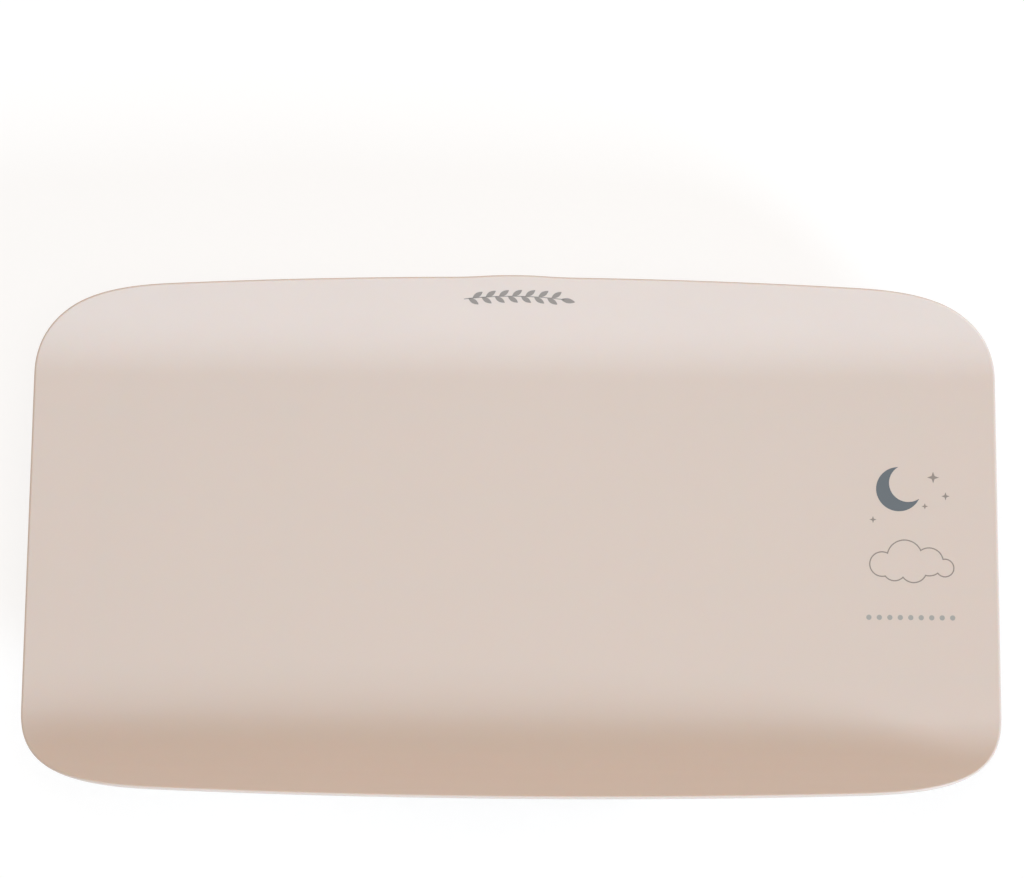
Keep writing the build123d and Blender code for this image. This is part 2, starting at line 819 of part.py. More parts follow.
with BuildPart() as tact_switches:
    with BuildSketch(face_plane.offset(-board_depth)):
        with Locations(*[(x, 0) for x in button_places]):
            Rectangle(switch_size, switch_size)
    extrude(amount=switch_body)
    with BuildSketch(face_plane.offset(switch_body - board_depth)):
        with Locations(*[(x, 0) for x in button_places]):
            Rectangle(plunger_size, plunger_size)
    extrude(amount=plunger_height)
save(tact_switches.part, "tact_switches")

with BuildPart() as board_screws:
    with BuildSketch(face_plane.offset(-board_back)):
        with GridLocations(2 * board_screw_x, 0, 2, 1):
            Circle(2 * board_screw_radius)
    extrude(amount=-board_screw_radius)
    with BuildSketch(face_plane.offset(-board_back)):
        with GridLocations(2 * board_screw_x, 0, 2, 1):
            RegularPolygon(board_screw_radius, screw_sides)
    extrude(amount=board_thickness + board_screw_bite)
save(board_screws.part, "board_screws")

with BuildPart() as board_chips:
    with BuildSketch(face_plane.offset(-board_back)):
        for x, y, width, height in board_parts:
            with Locations((x, y)):
                Rectangle(width, height)
    extrude(amount=-chip_height)
save(board_chips.part, "board_chips")

with BuildPart() as lead_connectors:
    with BuildSketch(face_plane.offset(-board_back)):
        with Locations(*[(x, connector_y) for x in connector_places]):
            Rectangle(connector_width, connector_height)
    extrude(amount=-connector_depth)
save(lead_connectors.part, "lead_connectors")


# ==== battery compartment ====


def contact_sign(row):
    """Which way a cell's nub points: +1 to the right, -1 to the left."""
    return -1 if row % 2 == 0 else 1


battery_rows = [
    battery_y + battery_pitch * (row - (battery_count - 1) / 2)
    for row in range(battery_count)
]
contact_face = pocket_length / 2 - contact_thickness

for row, y in enumerate(battery_rows):
    way = contact_sign(row)
    tip_x = battery_x + way * (contact_face - dimple_height - contact_gap)
    nub_plane = Plane(origin=(tip_x, y, battery_z), x_dir=(0, 1, 0), z_dir=(-way, 0, 0))
    with BuildPart() as battery_cell:
        with BuildSketch(nub_plane):
            Circle(battery_nub_radius)
        extrude(amount=battery_nub_length)
        with BuildSketch(nub_plane.offset(battery_nub_length)):
            Circle(battery_radius)
        extrude(amount=battery_length - battery_nub_length)
    save(battery_cell.part, f"battery_cell_{row + 1}")

# plates at both ends: one single and one that joins two cells, with dimples and bowed springs
with BuildPart() as battery_contacts:
    for side, groups in ((-1, ((0,), (1, 2))), (1, ((0, 1), (2,)))):
        wall_x = battery_x + side * pocket_length / 2
        with BuildSketch(Plane.YZ.offset(wall_x)):
            for group in groups:
                middle = sum(battery_rows[row] for row in group) / len(group)
                with Locations((middle, battery_z)):
                    Rectangle(
                        contact_size + battery_pitch * (len(group) - 1), contact_size
                    )
        extrude(amount=-side * contact_thickness)
        face_x = wall_x - side * contact_thickness
        for row, y in enumerate(battery_rows):
            if contact_sign(row) == side:
                with BuildSketch(Plane.YZ.offset(face_x)):
                    with Locations((y, battery_z)):
                        Rectangle(dimple_size, dimple_size)
                extrude(amount=-side * dimple_height)
            else:
                with BuildSketch(Plane.XZ.offset(-y)):
                    with BuildLine():
                        bow_x = face_x - side * (spring_reach - contact_thickness / 2)
                        Polyline(
                            (face_x, battery_z - contact_size / 2 + contact_thickness),
                            (bow_x, battery_z),
                            (face_x, battery_z + contact_size / 2 - contact_thickness),
                        )
                    trace(line_width=contact_thickness)
                extrude(amount=contact_size / 4, both=True)
save(battery_contacts.part, "battery_contacts")

with BuildPart() as battery_door:
    with BuildSketch(Plane.XY.offset(base_underside)):
        with Locations((battery_x, (pocket_front_y + door_rear_y) / 2)):
            Rectangle(pocket_block_length, door_rear_y - pocket_front_y)
        with Locations((battery_x, (door_rear_y + hinge_y) / 2)):
            Rectangle(hinge_barrel_length, hinge_y - door_rear_y)
        with Locations((battery_x, pocket_front_y - latch_root / 2)):
            Rectangle(latch_width, latch_root)
    extrude(amount=door_thickness)
    with BuildSketch(Plane.YZ.offset(battery_x)):
        with Locations((hinge_y, hinge_z)):
            Circle(hinge_barrel_radius)
    extrude(amount=hinge_barrel_length / 2, both=True)
    with BuildSketch(Plane.YZ.offset(battery_x)):
        with Locations((hinge_y, hinge_z)):
            Circle(hinge_pin_radius)
    extrude(amount=hinge_barrel_length / 2 + door_gap + hinge_pin_length, both=True)
    # sprung latch, bent over like a U
    with BuildSketch(Plane.YZ.offset(battery_x)):
        with BuildLine():
            back_y = pocket_front_y - latch_root + latch_wall / 2
            front_y = latch_front_y + latch_wall / 2
            top_z = door_inner + latch_height - latch_wall / 2
            FilletPolyline(
                (back_y, door_inner - door_thickness / 2),
                (back_y, top_z),
                (front_y, top_z),
                (front_y, base_underside + latch_wall / 2),
                radius=(back_y - front_y) / 2 - latch_wall / 4,
            )
        trace(line_width=latch_wall)
    extrude(amount=latch_width / 2, both=True)
save(battery_door.part, "battery_door")


# ==== leads inside the tub ====


def lead(points):
    """Flexible lead of several wires side by side, swept along a route with rounded turns."""
    with BuildPart() as bundle:
        with BuildLine() as route:
            FilletPolyline(*points, radius=lead_bend)
        with BuildSketch(Plane(origin=route.line @ 0, z_dir=route.line % 0)):
            Rectangle(lead_size, lead_size)
        sweep()
    return bundle


lead_z = tub_floor + floor_rib_height + lead_size / 2
lead_start = face_plane.offset(-board_back - connector_depth)


def lead_from_board(x):
    """Route from a connector down to the top of the floor ribs."""
    start = lead_start.from_local_coords((x, connector_y, 0))
    bend = lead_start.from_local_coords((x, connector_y, -lead_drop))
    return [start, bend, Vector(x, lead_turn_inset - base_width / 2, lead_z)]


lead_y = foot_y - cell_size / 4
for name, (x, y), plug_x in zip(foot_names, foot_places, cell_plugs):
    side = 1 if x > 0 else -1
    row_y = lead_y if y > 0 else -lead_y
    route = lead_from_board(plug_x)
    route.append(Vector(plug_x, row_y, lead_z))
    route.append(Vector(side * frame_inner_x, row_y, lead_z))
    save(lead(route).part, f"cell_lead_{name}")

battery_route = lead_from_board(battery_plug)
battery_route.append(Vector(battery_plug, pocket_front_y, lead_z))
save(lead(battery_route).part, "battery_lead")
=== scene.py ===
import json
import math

import bmesh
import bpy
from mathutils import Matrix, Vector

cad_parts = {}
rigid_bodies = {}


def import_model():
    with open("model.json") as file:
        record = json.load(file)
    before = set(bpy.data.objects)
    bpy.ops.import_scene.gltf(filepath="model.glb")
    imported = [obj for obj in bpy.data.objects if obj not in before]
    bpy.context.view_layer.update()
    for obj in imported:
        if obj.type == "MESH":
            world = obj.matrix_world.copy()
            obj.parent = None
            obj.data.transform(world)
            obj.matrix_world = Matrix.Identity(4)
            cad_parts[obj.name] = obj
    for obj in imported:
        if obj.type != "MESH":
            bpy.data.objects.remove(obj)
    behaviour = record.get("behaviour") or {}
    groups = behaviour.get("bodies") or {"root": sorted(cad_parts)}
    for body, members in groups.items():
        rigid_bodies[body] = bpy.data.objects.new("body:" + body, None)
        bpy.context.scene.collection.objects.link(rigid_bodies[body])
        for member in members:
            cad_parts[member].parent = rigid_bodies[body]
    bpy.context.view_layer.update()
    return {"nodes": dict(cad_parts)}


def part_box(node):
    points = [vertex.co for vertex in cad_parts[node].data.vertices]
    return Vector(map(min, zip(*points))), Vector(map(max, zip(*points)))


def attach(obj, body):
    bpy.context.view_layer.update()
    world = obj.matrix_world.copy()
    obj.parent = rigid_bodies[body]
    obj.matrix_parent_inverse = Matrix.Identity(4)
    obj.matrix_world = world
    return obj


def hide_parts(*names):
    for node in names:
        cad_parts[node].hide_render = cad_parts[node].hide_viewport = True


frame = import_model()
nodes = frame["nodes"]
MM = 0.001

# ---- weighing tray ----
# One large ABS moulding in a pale pinkish beige: a flat floor with two walls that curve up from it, and an
# edge that is turned down and rounded. Screws from below hold it to the tub.

tray_half_length = 280 * MM
tray_half_width = 150 * MM
tray_floor_z = 49 * MM
tray_wall = 3 * MM
bend_start = 99 * MM
bend_radius = 44 * MM
bend_turn = math.radians(50)
bend_steps = 20
edge_bow = 7.8 * MM
corner_start = 196 * MM
corner_pull_along = 0.42
corner_pull_across = 0.88
hump_half = 36 * MM
hump_rise = 0.8 * MM
lip_depth = 8 * MM
lip_wall = 2.6 * MM
rim_width = 1.5 * MM
rim_segments = 8
lip_break = 0.5 * MM
outline_steps = 36
near = 0.01 * MM  # how close two places are to count as the same
cut_snap = 0.001 * MM


def deselect():
    """Back to object mode, with nothing selected."""
    if bpy.context.object and bpy.context.object.mode == "EDIT":
        bpy.ops.object.mode_set(mode="OBJECT")
    bpy.ops.object.select_all(action="DESELECT")


def take_up(*pieces):
    """Selects pieces, the first of them active."""
    deselect()
    for piece in pieces:
        piece.select_set(True)
    bpy.context.view_layer.objects.active = pieces[0]


def open_up(piece):
    """Edit mode with all of a piece selected."""
    take_up(piece)
    bpy.ops.object.mode_set(mode="EDIT")
    bpy.ops.mesh.select_mode(type="FACE")
    bpy.ops.mesh.select_all(action="SELECT")


def pick(kind, wanted):
    """In edit mode, selects the faces, edges or verts for which wanted() is true."""
    bpy.ops.mesh.select_mode(type={"faces": "FACE", "edges": "EDGE", "verts": "VERT"}[kind])
    bpy.ops.mesh.select_all(action="DESELECT")
    mesh = bpy.context.object.data
    work = bmesh.from_edit_mesh(mesh)
    work.normal_update()
    for part in [part for part in getattr(work, kind) if wanted(part)]:
        part.select_set(True)
    work.select_flush_mode()
    bmesh.update_edit_mesh(mesh)


def push(x=0.0, z=0.0):
    """Extrudes what is selected, lengthwise or upwards."""
    bpy.ops.mesh.extrude_region_move(TRANSFORM_OT_translate={"value": (x, 0, z)})


def trim(place, away):
    """Cuts all of the open piece along a plane, drops what lies beyond it and closes the cut."""
    bpy.ops.mesh.select_all(action="SELECT")
    bpy.ops.mesh.bisect(plane_co=place, plane_no=away, use_fill=True, clear_outer=True, threshold=cut_snap)


def middle(part):
    """Middle of an edge or a face."""
    return sum((corner.co for corner in part.verts), Vector()) / len(part.verts)


def soften(piece, width=0.3 * MM, segments=2, limit=40):
    """Rounds a piece's sharp edges a little, and shades it smooth between them."""
    take_up(piece)
    if width:
        bevel = piece.modifiers.new("edge break", "BEVEL")
        bevel.width = width
        bevel.segments = segments
        bevel.limit_method = "ANGLE"
        bevel.angle_limit = math.radians(limit)
        bpy.ops.object.modifier_apply(modifier=bevel.name)
    bpy.ops.object.shade_smooth_by_angle(angle=math.radians(limit))
    weights = piece.modifiers.new("even shading", "WEIGHTED_NORMAL")
    weights.keep_sharp = True
    bpy.ops.object.modifier_apply(modifier=weights.name)
    deselect()


flat_angle = math.radians(0.6)  # faces that turn by less than this are one face


def merged_copy(node, name):
    """A copy of a CAD node, with its loose triangles merged into whole faces."""
    piece = bpy.data.objects.new(name, nodes[node].data.copy())
    bpy.context.collection.objects.link(piece)
    open_up(piece)
    bpy.ops.mesh.remove_doubles(threshold=0.002 * MM)
    bpy.ops.mesh.dissolve_limited(angle_limit=flat_angle)
    deselect()
    return piece


def finish_piece(piece, finish, body="housing", replaced=()):
    """Gives a piece its finish, and says what it rides on and stands for."""
    piece.data.materials.clear()
    piece.data.materials.append(finish)
    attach(piece, body)
    if replaced:
        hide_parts(*replaced)


def linear(colour):
    """An sRGB hex colour as the linear values that shaders take."""
    parts = [int(colour[at : at + 2], 16) / 255 for at in (0, 2, 4)]
    return tuple(p / 12.92 if p <= 0.04045 else ((p + 0.055) / 1.055) ** 2.4 for p in parts) + (1.0,)


def add_node(tree, kind, settings=(), links=()):
    """Adds a shader node. Settings and links are keyed by the name or the number of an input."""
    node = tree.nodes.new(kind)
    for name, value in dict(settings).items():
        if isinstance(name, str) and hasattr(node, name):
            setattr(node, name, value)
        else:
            node.inputs[name].default_value = value
    for name, output in dict(links).items():
        tree.links.new(output, node.inputs[name])
    return node


def new_finish(name):
    """A material with an empty tree, and the place on the object in metres."""
    material = bpy.data.materials.new(name)
    material.use_nodes = True
    material.node_tree.nodes.clear()
    return material, material.node_tree, add_node(material.node_tree, "ShaderNodeTexCoord").outputs["Object"]


def surface(tree, settings, links):
    """The shader of a finish, joined to its output."""
    shader = add_node(tree, "ShaderNodeBsdfPrincipled", settings, links)
    add_node(tree, "ShaderNodeOutputMaterial", links={"Surface": shader.outputs[0]})


def moulded(name, colour, grain, depth, roughness, drift=0.02, patch=70 * MM, **more):
    """Moulded plastic: the mould's fine grain as bump, which softens highlights, and a faint slow drift of
    tone and gloss over each patch, which keeps large faces from looking painted."""
    material, tree, place = new_finish(name)
    fine = add_node(tree, "ShaderNodeTexNoise", {"Scale": 1 / grain, "Detail": 3.0}, {"Vector": place})
    slow = add_node(tree, "ShaderNodeTexNoise", {"Scale": 1 / patch, "Detail": 2.0}, {"Vector": place})
    bump = add_node(tree, "ShaderNodeBump", {"Strength": 1.0, "Distance": depth}, {"Height": fine.outputs[0]})
    shares = (1 - drift, 1 + drift)
    low, high = ([min(part * share, 1.0) for part in linear(colour)[:3]] + [1.0] for share in shares)
    tone = add_node(tree, "ShaderNodeMix", {"data_type": "RGBA", 6: low, 7: high}, {0: slow.outputs[0]})
    spread = {"To Min": roughness - 0.05, "To Max": roughness + 0.05}
    gloss = add_node(tree, "ShaderNodeMapRange", spread, {"Value": slow.outputs[0]})
    links = {"Base Color": tone.outputs[2], "Roughness": gloss.outputs[0], "Normal": bump.outputs[0]}
    surface(tree, {"IOR": 1.54, **more}, links)
    return material


def trough_z(y):
    """Height of the weighing surface at a distance from the middle line."""
    out = abs(y) - bend_start
    bend_out = bend_radius * math.sin(bend_turn)
    if out <= 0:
        return tray_floor_z
    if out <= bend_out:
        return tray_floor_z + bend_radius - math.sqrt(bend_radius**2 - out**2)
    bend_rise = bend_radius * (1 - math.cos(bend_turn))
    return tray_floor_z + bend_rise + (out - bend_out) * math.tan(bend_turn)


def underside_z(y):
    """Height of the tray's underside, which lies the wall's thickness square below the surface."""
    out = abs(y) - bend_start
    outer = bend_radius + tray_wall
    if out <= 0:
        return tray_floor_z - tray_wall
    if out <= outer * math.sin(bend_turn):
        return tray_floor_z + bend_radius - math.sqrt(outer**2 - out**2)
    return trough_z(y) - tray_wall / math.cos(bend_turn)


def bowed_edge(x):
    """Point on the bowed long edge, and the edge's direction there."""
    bow = (tray_half_length**2 + edge_bow**2) / (2 * edge_bow)
    rise = math.sqrt(bow**2 - x**2)
    return Vector((x, tray_half_width - bow + rise, 0)), Vector((rise, -x, 0)) / bow


def flip(point, x, y):
    """A point's mirror image across the middle lines, where x or y is -1."""
    return Vector((point.x * x, point.y * y, 0))


# the outline seen from above, as points with the handles before and after them
hump_end, hump_way = bowed_edge(hump_half)
corner_from, corner_way = bowed_edge(corner_start)
arm = (corner_start - hump_half) / 3
crest = Vector((0, tray_half_width + hump_rise, 0))
corner_to = Vector((tray_half_length, bend_start, 0))
corner_handle = corner_to + Vector((0, (corner_from.y - bend_start) * corner_pull_across, 0))
corner_reach = corner_way * (tray_half_length - corner_start) * corner_pull_along
front = Vector((0, -tray_half_width, 0))
front_arm = Vector((corner_start / 3, 0, 0))
right_side = [
    (hump_end, hump_end - hump_way * hump_half / 2, hump_end + hump_way * arm),
    (corner_from, corner_from - corner_way * arm, corner_from + corner_reach),
    (corner_to, corner_handle, corner_to),
    (flip(corner_to, 1, -1), flip(corner_to, 1, -1), flip(corner_handle, 1, -1)),
    (
        flip(corner_from, 1, -1),
        flip(corner_from + corner_reach, 1, -1),
        flip(corner_from - corner_way * corner_start / 3, 1, -1),
    ),
]
left_side = [
    [flip(spot, -1, 1) for spot in (at, after, before)] for at, before, after in reversed(right_side)
]
crest_arm = Vector((hump_half / 2, 0, 0))
stops = [(crest, crest - crest_arm, crest + crest_arm)] + right_side
stops += [(front, front + front_arm, front - front_arm)] + left_side

deselect()
bpy.ops.curve.primitive_bezier_circle_add(radius=tray_half_width)
tray = bpy.context.object
tray.name = "tray"
tray.data.dimensions = "2D"
tray.data.fill_mode = "NONE"
tray.data.resolution_u = outline_steps
outline = tray.data.splines[0]
outline.bezier_points.add(len(stops) - len(outline.bezier_points))
for spot, (at, before, after) in zip(outline.bezier_points, stops):
    spot.handle_left_type = spot.handle_right_type = "FREE"
    spot.co, spot.handle_left, spot.handle_right = at, before, after
bpy.ops.object.convert(target="MESH")

open_up(tray)
bpy.ops.mesh.select_mode(type="VERT")
bpy.ops.mesh.select_all(action="SELECT")
bpy.ops.mesh.remove_doubles(threshold=near)
bpy.ops.mesh.edge_face_add()
push(z=-lip_depth)
bpy.ops.mesh.select_all(action="SELECT")
bpy.ops.mesh.normals_make_consistent(inside=False)
# the recess below, which leaves the turned-down lip standing around it
pick("faces", lambda face: face.normal.z < -0.9)
bpy.ops.mesh.inset(thickness=lip_wall, use_even_offset=True)
push(z=lip_depth - tray_wall)
pick("edges", lambda edge: max(corner.co.z for corner in edge.verts) < -lip_depth + 0.1 * MM)
bpy.ops.mesh.bevel(offset=lip_break, segments=2, affect="EDGES")
pick("edges", lambda edge: min(corner.co.z for corner in edge.verts) > -0.1 * MM)
bpy.ops.mesh.bevel(offset=rim_width, segments=rim_segments, affect="EDGES")
# rows of edges along the two bends
for step in range(bend_steps + 1):
    for side in (1, -1):
        row = bend_start + bend_radius * math.sin(bend_turn * step / bend_steps)
        bpy.ops.mesh.select_all(action="SELECT")
        bpy.ops.mesh.bisect(plane_co=(0, side * row, 0), plane_no=(0, 1, 0), threshold=cut_snap)
deselect()


def rim_drop(depth, out_y, y):
    """How far the rounded rim lies below the surface that it cuts off, at a depth on the flat plate's
    rounding. Where the wall climbs towards the rim, the arc turns further and its radius is smaller."""
    slope = math.atan((trough_z(abs(y) + near) - trough_z(abs(y))) / near * abs(out_y))
    radius = rim_width / (1 + math.sin(slope))
    inward = rim_width * (1 - math.sin(math.acos(max(0.0, 1 - depth / rim_width))))
    lean = math.asin(max(-1.0, 1 - inward / radius))
    return rim_width / math.cos(slope) - radius * math.cos(lean) - inward * math.tan(slope)


# the flat plate is formed into the trough
outward = [corner.normal.copy() for corner in tray.data.vertices]
for corner, way in zip(tray.data.vertices, outward):
    depth = -corner.co.z
    if abs(depth - tray_wall) < near:
        corner.co.z = underside_z(corner.co.y)
    elif cut_snap < depth < tray_wall:
        corner.co.z = trough_z(corner.co.y) - rim_drop(depth, way.y / math.hypot(way.x, way.y), corner.co.y)
    else:
        corner.co.z += trough_z(corner.co.y)

# the ribs, screw columns and locating rib under the tray
rib_cut = tray_floor_z - tray_wall - 0.1 * MM
rib_end = tray_half_length - lip_wall - 0.1 * MM
rib_root = 2 * MM  # how far the ribs reach up into the floor
lip_zone = (245 * MM, 85 * MM)  # past both of these lies only the CAD's own lip
ribs = merged_copy("weighing_tray", "tray_ribs")
open_up(ribs)
trim((0, 0, rib_cut), (0, 0, 1))
for side in (1, -1):
    trim((side * rib_end, 0, 0), (side, 0, 0))
pick("verts", lambda corner: abs(corner.co.x) > lip_zone[0] and abs(corner.co.y) > lip_zone[1])
bpy.ops.mesh.select_linked()
bpy.ops.mesh.delete(type="VERT")
pick("faces", lambda face: face.normal.z > 0.9 and abs(middle(face).z - rib_cut) < near)
bpy.ops.transform.translate(value=(0, 0, rib_root))
for side in (1, -1):
    pick("verts", lambda corner: abs(corner.co.x - side * rib_end) < near)
    bpy.ops.transform.translate(value=(side * lip_wall / 2, 0, 0))
deselect()
soften(ribs, width=0.2 * MM)
soften(tray, width=0)
take_up(tray, ribs)
bpy.ops.object.join()
# ABS from a spark-eroded mould: a soft satin with broad, pale highlights, and a little light that soaks in
# and warms the thin rim. Its grain of 0.15 mm is drawn at 0.9 mm so that it shows.
soak = {"Subsurface Weight": 0.15, "Subsurface Radius": (1.0, 0.4, 0.2), "Subsurface Scale": 4 * MM}
tray_finish = moulded(
    "ABS, spark-eroded satin", "DACDC5", grain=0.9 * MM, depth=0.012 * MM, roughness=0.62, drift=0.012, **soak
)
finish_piece(tray, tray_finish, replaced=["weighing_tray"])

# ---- prints on the tray ----
# Pad-printed ink, a few hundredths of a millimetre thick and duller than the plastic: a moon, stars and a
# cloud with a row of dots at the right end, and a leaf sprig on the rear wall.

ink_height = 0.03 * MM
ink_colours = {"slate": "606970", "taupe": "938A84", "grey": "A5A5A3", "leaf grey": "918A85"}
print_x = 229 * MM
print_floor = Matrix.Translation((print_x, 0, tray_floor_z))
sprig_y = 140.0 * MM
print_wall = Matrix.Translation((0, sprig_y, trough_z(sprig_y))) @ Matrix.Rotation(bend_turn, 4, "X")
past_both = Matrix.Diagonal((1, 1, 3, 1))  # makes a disc thick enough to cut through another


def disc(radius, x=0.0, y=0.0, sides=64):
    """A thin flat disc, half sunk in the surface that it is printed on."""
    deselect()
    bpy.ops.mesh.primitive_cylinder_add(
        vertices=sides, radius=radius, depth=2 * ink_height, location=(x, y, 0)
    )
    bpy.ops.object.transform_apply(location=True, rotation=True, scale=True)
    return bpy.context.object


def moved(x, y, z=0.0):
    """The matrix of a move, given in millimetres."""
    return Matrix.Translation((x * MM, y * MM, z * MM))


def merge(piece, other, how):
    """Joins another solid to a piece, or cuts it out of the piece."""
    take_up(piece)
    step = piece.modifiers.new(how, "BOOLEAN")
    step.operation = how
    step.object = other
    step.solver = "EXACT"
    bpy.ops.object.modifier_apply(modifier=step.name)
    bpy.data.objects.remove(other)


def placed_copy(piece, name, place):
    """A copy of a piece with its own mesh, set in its place."""
    twin = bpy.data.objects.new(name, piece.data.copy())
    bpy.context.collection.objects.link(twin)
    twin.data.transform(place)
    return twin


def joined(pieces, name):
    """Several pieces as one."""
    take_up(*pieces)
    bpy.ops.object.join()
    pieces[0].name = name
    return pieces[0]


def ink(tone):
    """Pad-printing ink, wiped on thin: flat and dull, with a tone that is a little uneven."""
    name = f"Pad-printing ink, {tone}"
    return moulded(name, ink_colours[tone], grain=0.5 * MM, depth=0.004 * MM, roughness=0.62, drift=0.04)


# a crescent: a disc cut by a smaller one
moon_radius = 13 * MM
bite_radius = 11 * MM
moon = disc(moon_radius)
merge(moon, disc(bite_radius, x=5.5 * MM, y=3.5 * MM), "DIFFERENCE")
moon.data.transform(moved(-6, 34))
moon.name = "print_moon"

# four-pointed stars: a disc of eight corners, with every second one drawn in
star_waist = 0.36
star = disc(3.4 * MM, sides=8)
open_up(star)
pick("verts", lambda corner: round(math.degrees(math.atan2(corner.co.x, corner.co.y)) / 45) % 2)
bpy.ops.transform.resize(value=(star_waist, star_waist, 1), center_override=(0, 0, 0))
deselect()
star_places = ((14, 41, 1.0), (21, 30, 0.7), (9, 24, 0.55), (-21, 16, 0.6))  # and their sizes
stars = [
    placed_copy(star, "star", moved(x, y) @ Matrix.Diagonal((size, size, 1, 1))) for x, y, size in star_places
]
bpy.data.objects.remove(star)
stars = joined(stars, "print_stars")

# a cloud drawn in outline: discs run together, less the same discs made smaller
cloud_line = 0.7 * MM
cloud_discs = ((10.5, -2, 2), (7.5, -15, -2), (8.5, 12, -0.5), (5.5, 21, -4), (8, 3, -5), (7, -8, -5))
cloud, inside = (
    [disc(radius * MM - shrink, x * MM, y * MM) for radius, x, y in cloud_discs] for shrink in (0, cloud_line)
)
for group in (cloud, inside):
    for other in group[1:]:
        merge(group[0], other, "UNION")
cloud, inside = cloud[0], inside[0]
inside.data.transform(past_both)
merge(cloud, inside, "DIFFERENCE")
cloud.data.transform(moved(-1, -8))
cloud.name = "print_cloud"

dot_radius = 1.5 * MM
dot_row = -41
dot = disc(dot_radius, sides=24)
dots = [placed_copy(dot, "dot", moved(x, dot_row)) for x in range(-24, 25, 6)]
bpy.data.objects.remove(dot)
dots = joined(dots, "print_dots")
for piece, tone in ((moon, "slate"), (stars, "taupe"), (cloud, "taupe"), (dots, "grey")):
    piece.data.transform(print_floor)
    finish_piece(piece, ink(tone))

# the sprig: a bowed stem with pointed leaves at both sides
stem_length = 58 * MM
stem_width = 0.55 * MM
stem_bow = 2.2 * MM
stem_sink = 1 * MM
leaf_half_length = 4.2 * MM
leaf_half_width = 1.75 * MM
leaf_pairs = 7
first_pair_x = -24
pair_pitch = 7.6
pair_stagger = 2.4 * MM
leaf_lean = math.radians(38)
side_leaf = Matrix.Diagonal((0.86, 0.9, 1, 1))
end_leaf = moved(27, -0.7) @ Matrix.Rotation(-0.25, 4, "Z")


def stem_y(x):
    """Height of the bowed stem on the wall."""
    return stem_bow * (1 - (x / (stem_length / 2)) ** 2) - stem_sink


deselect()
bpy.ops.mesh.primitive_grid_add(x_subdivisions=24, y_subdivisions=1, size=1)
stem = bpy.context.object
stem.data.transform(Matrix.Diagonal((stem_length, stem_width, 1, 1)))
for corner in stem.data.vertices:
    corner.co.y += stem_y(corner.co.x)
open_up(stem)
push(z=ink_height)
bpy.ops.mesh.select_all(action="SELECT")
bpy.ops.mesh.normals_make_consistent(inside=False)
deselect()
leaf = disc(1, sides=28)
for corner in leaf.data.vertices:
    along = corner.co.x
    width = 1 - 0.55 * along**2  # narrower towards both ends
    corner.co = (leaf_half_length * (along + 1), leaf_half_width * corner.co.y * width, corner.co.z)
sprig = [stem]
for number in range(leaf_pairs):
    along = (first_pair_x + pair_pitch * number) * MM
    for side in (1, -1):
        lean = Matrix.Rotation(side * leaf_lean, 4, "Z")
        at = Matrix.Translation((along + (side - 1) / 2 * pair_stagger, stem_y(along), 0))
        sprig.append(placed_copy(leaf, "leaf", at @ lean @ side_leaf))
sprig.append(placed_copy(leaf, "leaf", end_leaf))
bpy.data.objects.remove(leaf)
sprig = joined(sprig, "print_sprig")
sprig.data.transform(print_wall)
finish_piece(sprig, ink("leaf grey"))

# ---- base tub ----
# The closed body under the tray, moulded in ABS of a lighter cream than the tray. It carries the console,
# the feet and the battery compartment, and the tray is screwed to it from below.

# a matt grain from an etched mould, which spreads the light evenly: 0.3 mm, drawn at 0.8 mm so that it shows
tub_finish = moulded(
    "ABS, matt grained", "E8DFD5", grain=0.8 * MM, depth=0.03 * MM, roughness=0.6, drift=0.015
)
tub = merged_copy("base_tub", "tub")
# the ends of the ribs inside come through the chamfer around the underside by 0.2 mm: that is taken off
rib_ends = (229.4 * MM, 103.4 * MM)
rib_low = 7.2 * MM
open_up(tub)
pick(
    "verts",
    lambda corner: abs(corner.co.z - rib_low) < near
    and min(abs(abs(at) - end) for at, end in zip(corner.co, rib_ends)) < near,
)
bpy.ops.mesh.dissolve_verts()
bpy.ops.mesh.select_all(action="SELECT")
bpy.ops.mesh.dissolve_limited(angle_limit=flat_angle)
deselect()
soften(tub, width=0.35 * MM)
finish_piece(tub, tub_finish, replaced=["base_tub"])

# faint round marks on the underside, where pins pushed the tub out of the mould
underside = 6 * MM
mark_ring = 0.35 * MM
mark_sink = 0.05 * MM
pin_mark = disc(2.5 * MM, sides=32)
pin_mark.data.transform(past_both)
open_up(pin_mark)
pick("faces", lambda face: face.normal.z < -0.9)
bpy.ops.mesh.inset(thickness=mark_ring)
bpy.ops.transform.translate(value=(0, 0, mark_sink))
deselect()
# in rows, but not where the feet are
mark_places = [(x, y) for x in (-200, -70, 70, 200) for y in (-40, 0, 40) if abs(x) + abs(y) != 240]
marks = [
    placed_copy(pin_mark, "mark", Matrix.Translation((x * MM, y * MM, underside))) for x, y in mark_places
]
bpy.data.objects.remove(pin_mark)
finish_piece(joined(marks, "mould_pin_marks"), tub_finish)

# ---- screws between the tub and the tray ----
# Four zinc-plated steel screws in counterbores under the tub, cold-formed, with round heads and cross
# recesses, and a coarse thread that cuts its own way into the tray's columns.

head_radius = 3.1 * MM
head_bottom = 27.8 * MM
head_top = 30 * MM
head_rounding = 0.9 * MM
recess = (3.4 * MM, 0.8 * MM, 2.4 * MM)  # one arm of the cross, of which half the height is in the head
shank_top = 43 * MM
thread_pitch = 1.4 * MM
thread_crest, thread_root = 1.48, 1.05  # radii in millimetres
screw_places = ((130, 76), (-130, 76), (-130, -76), (130, -76))


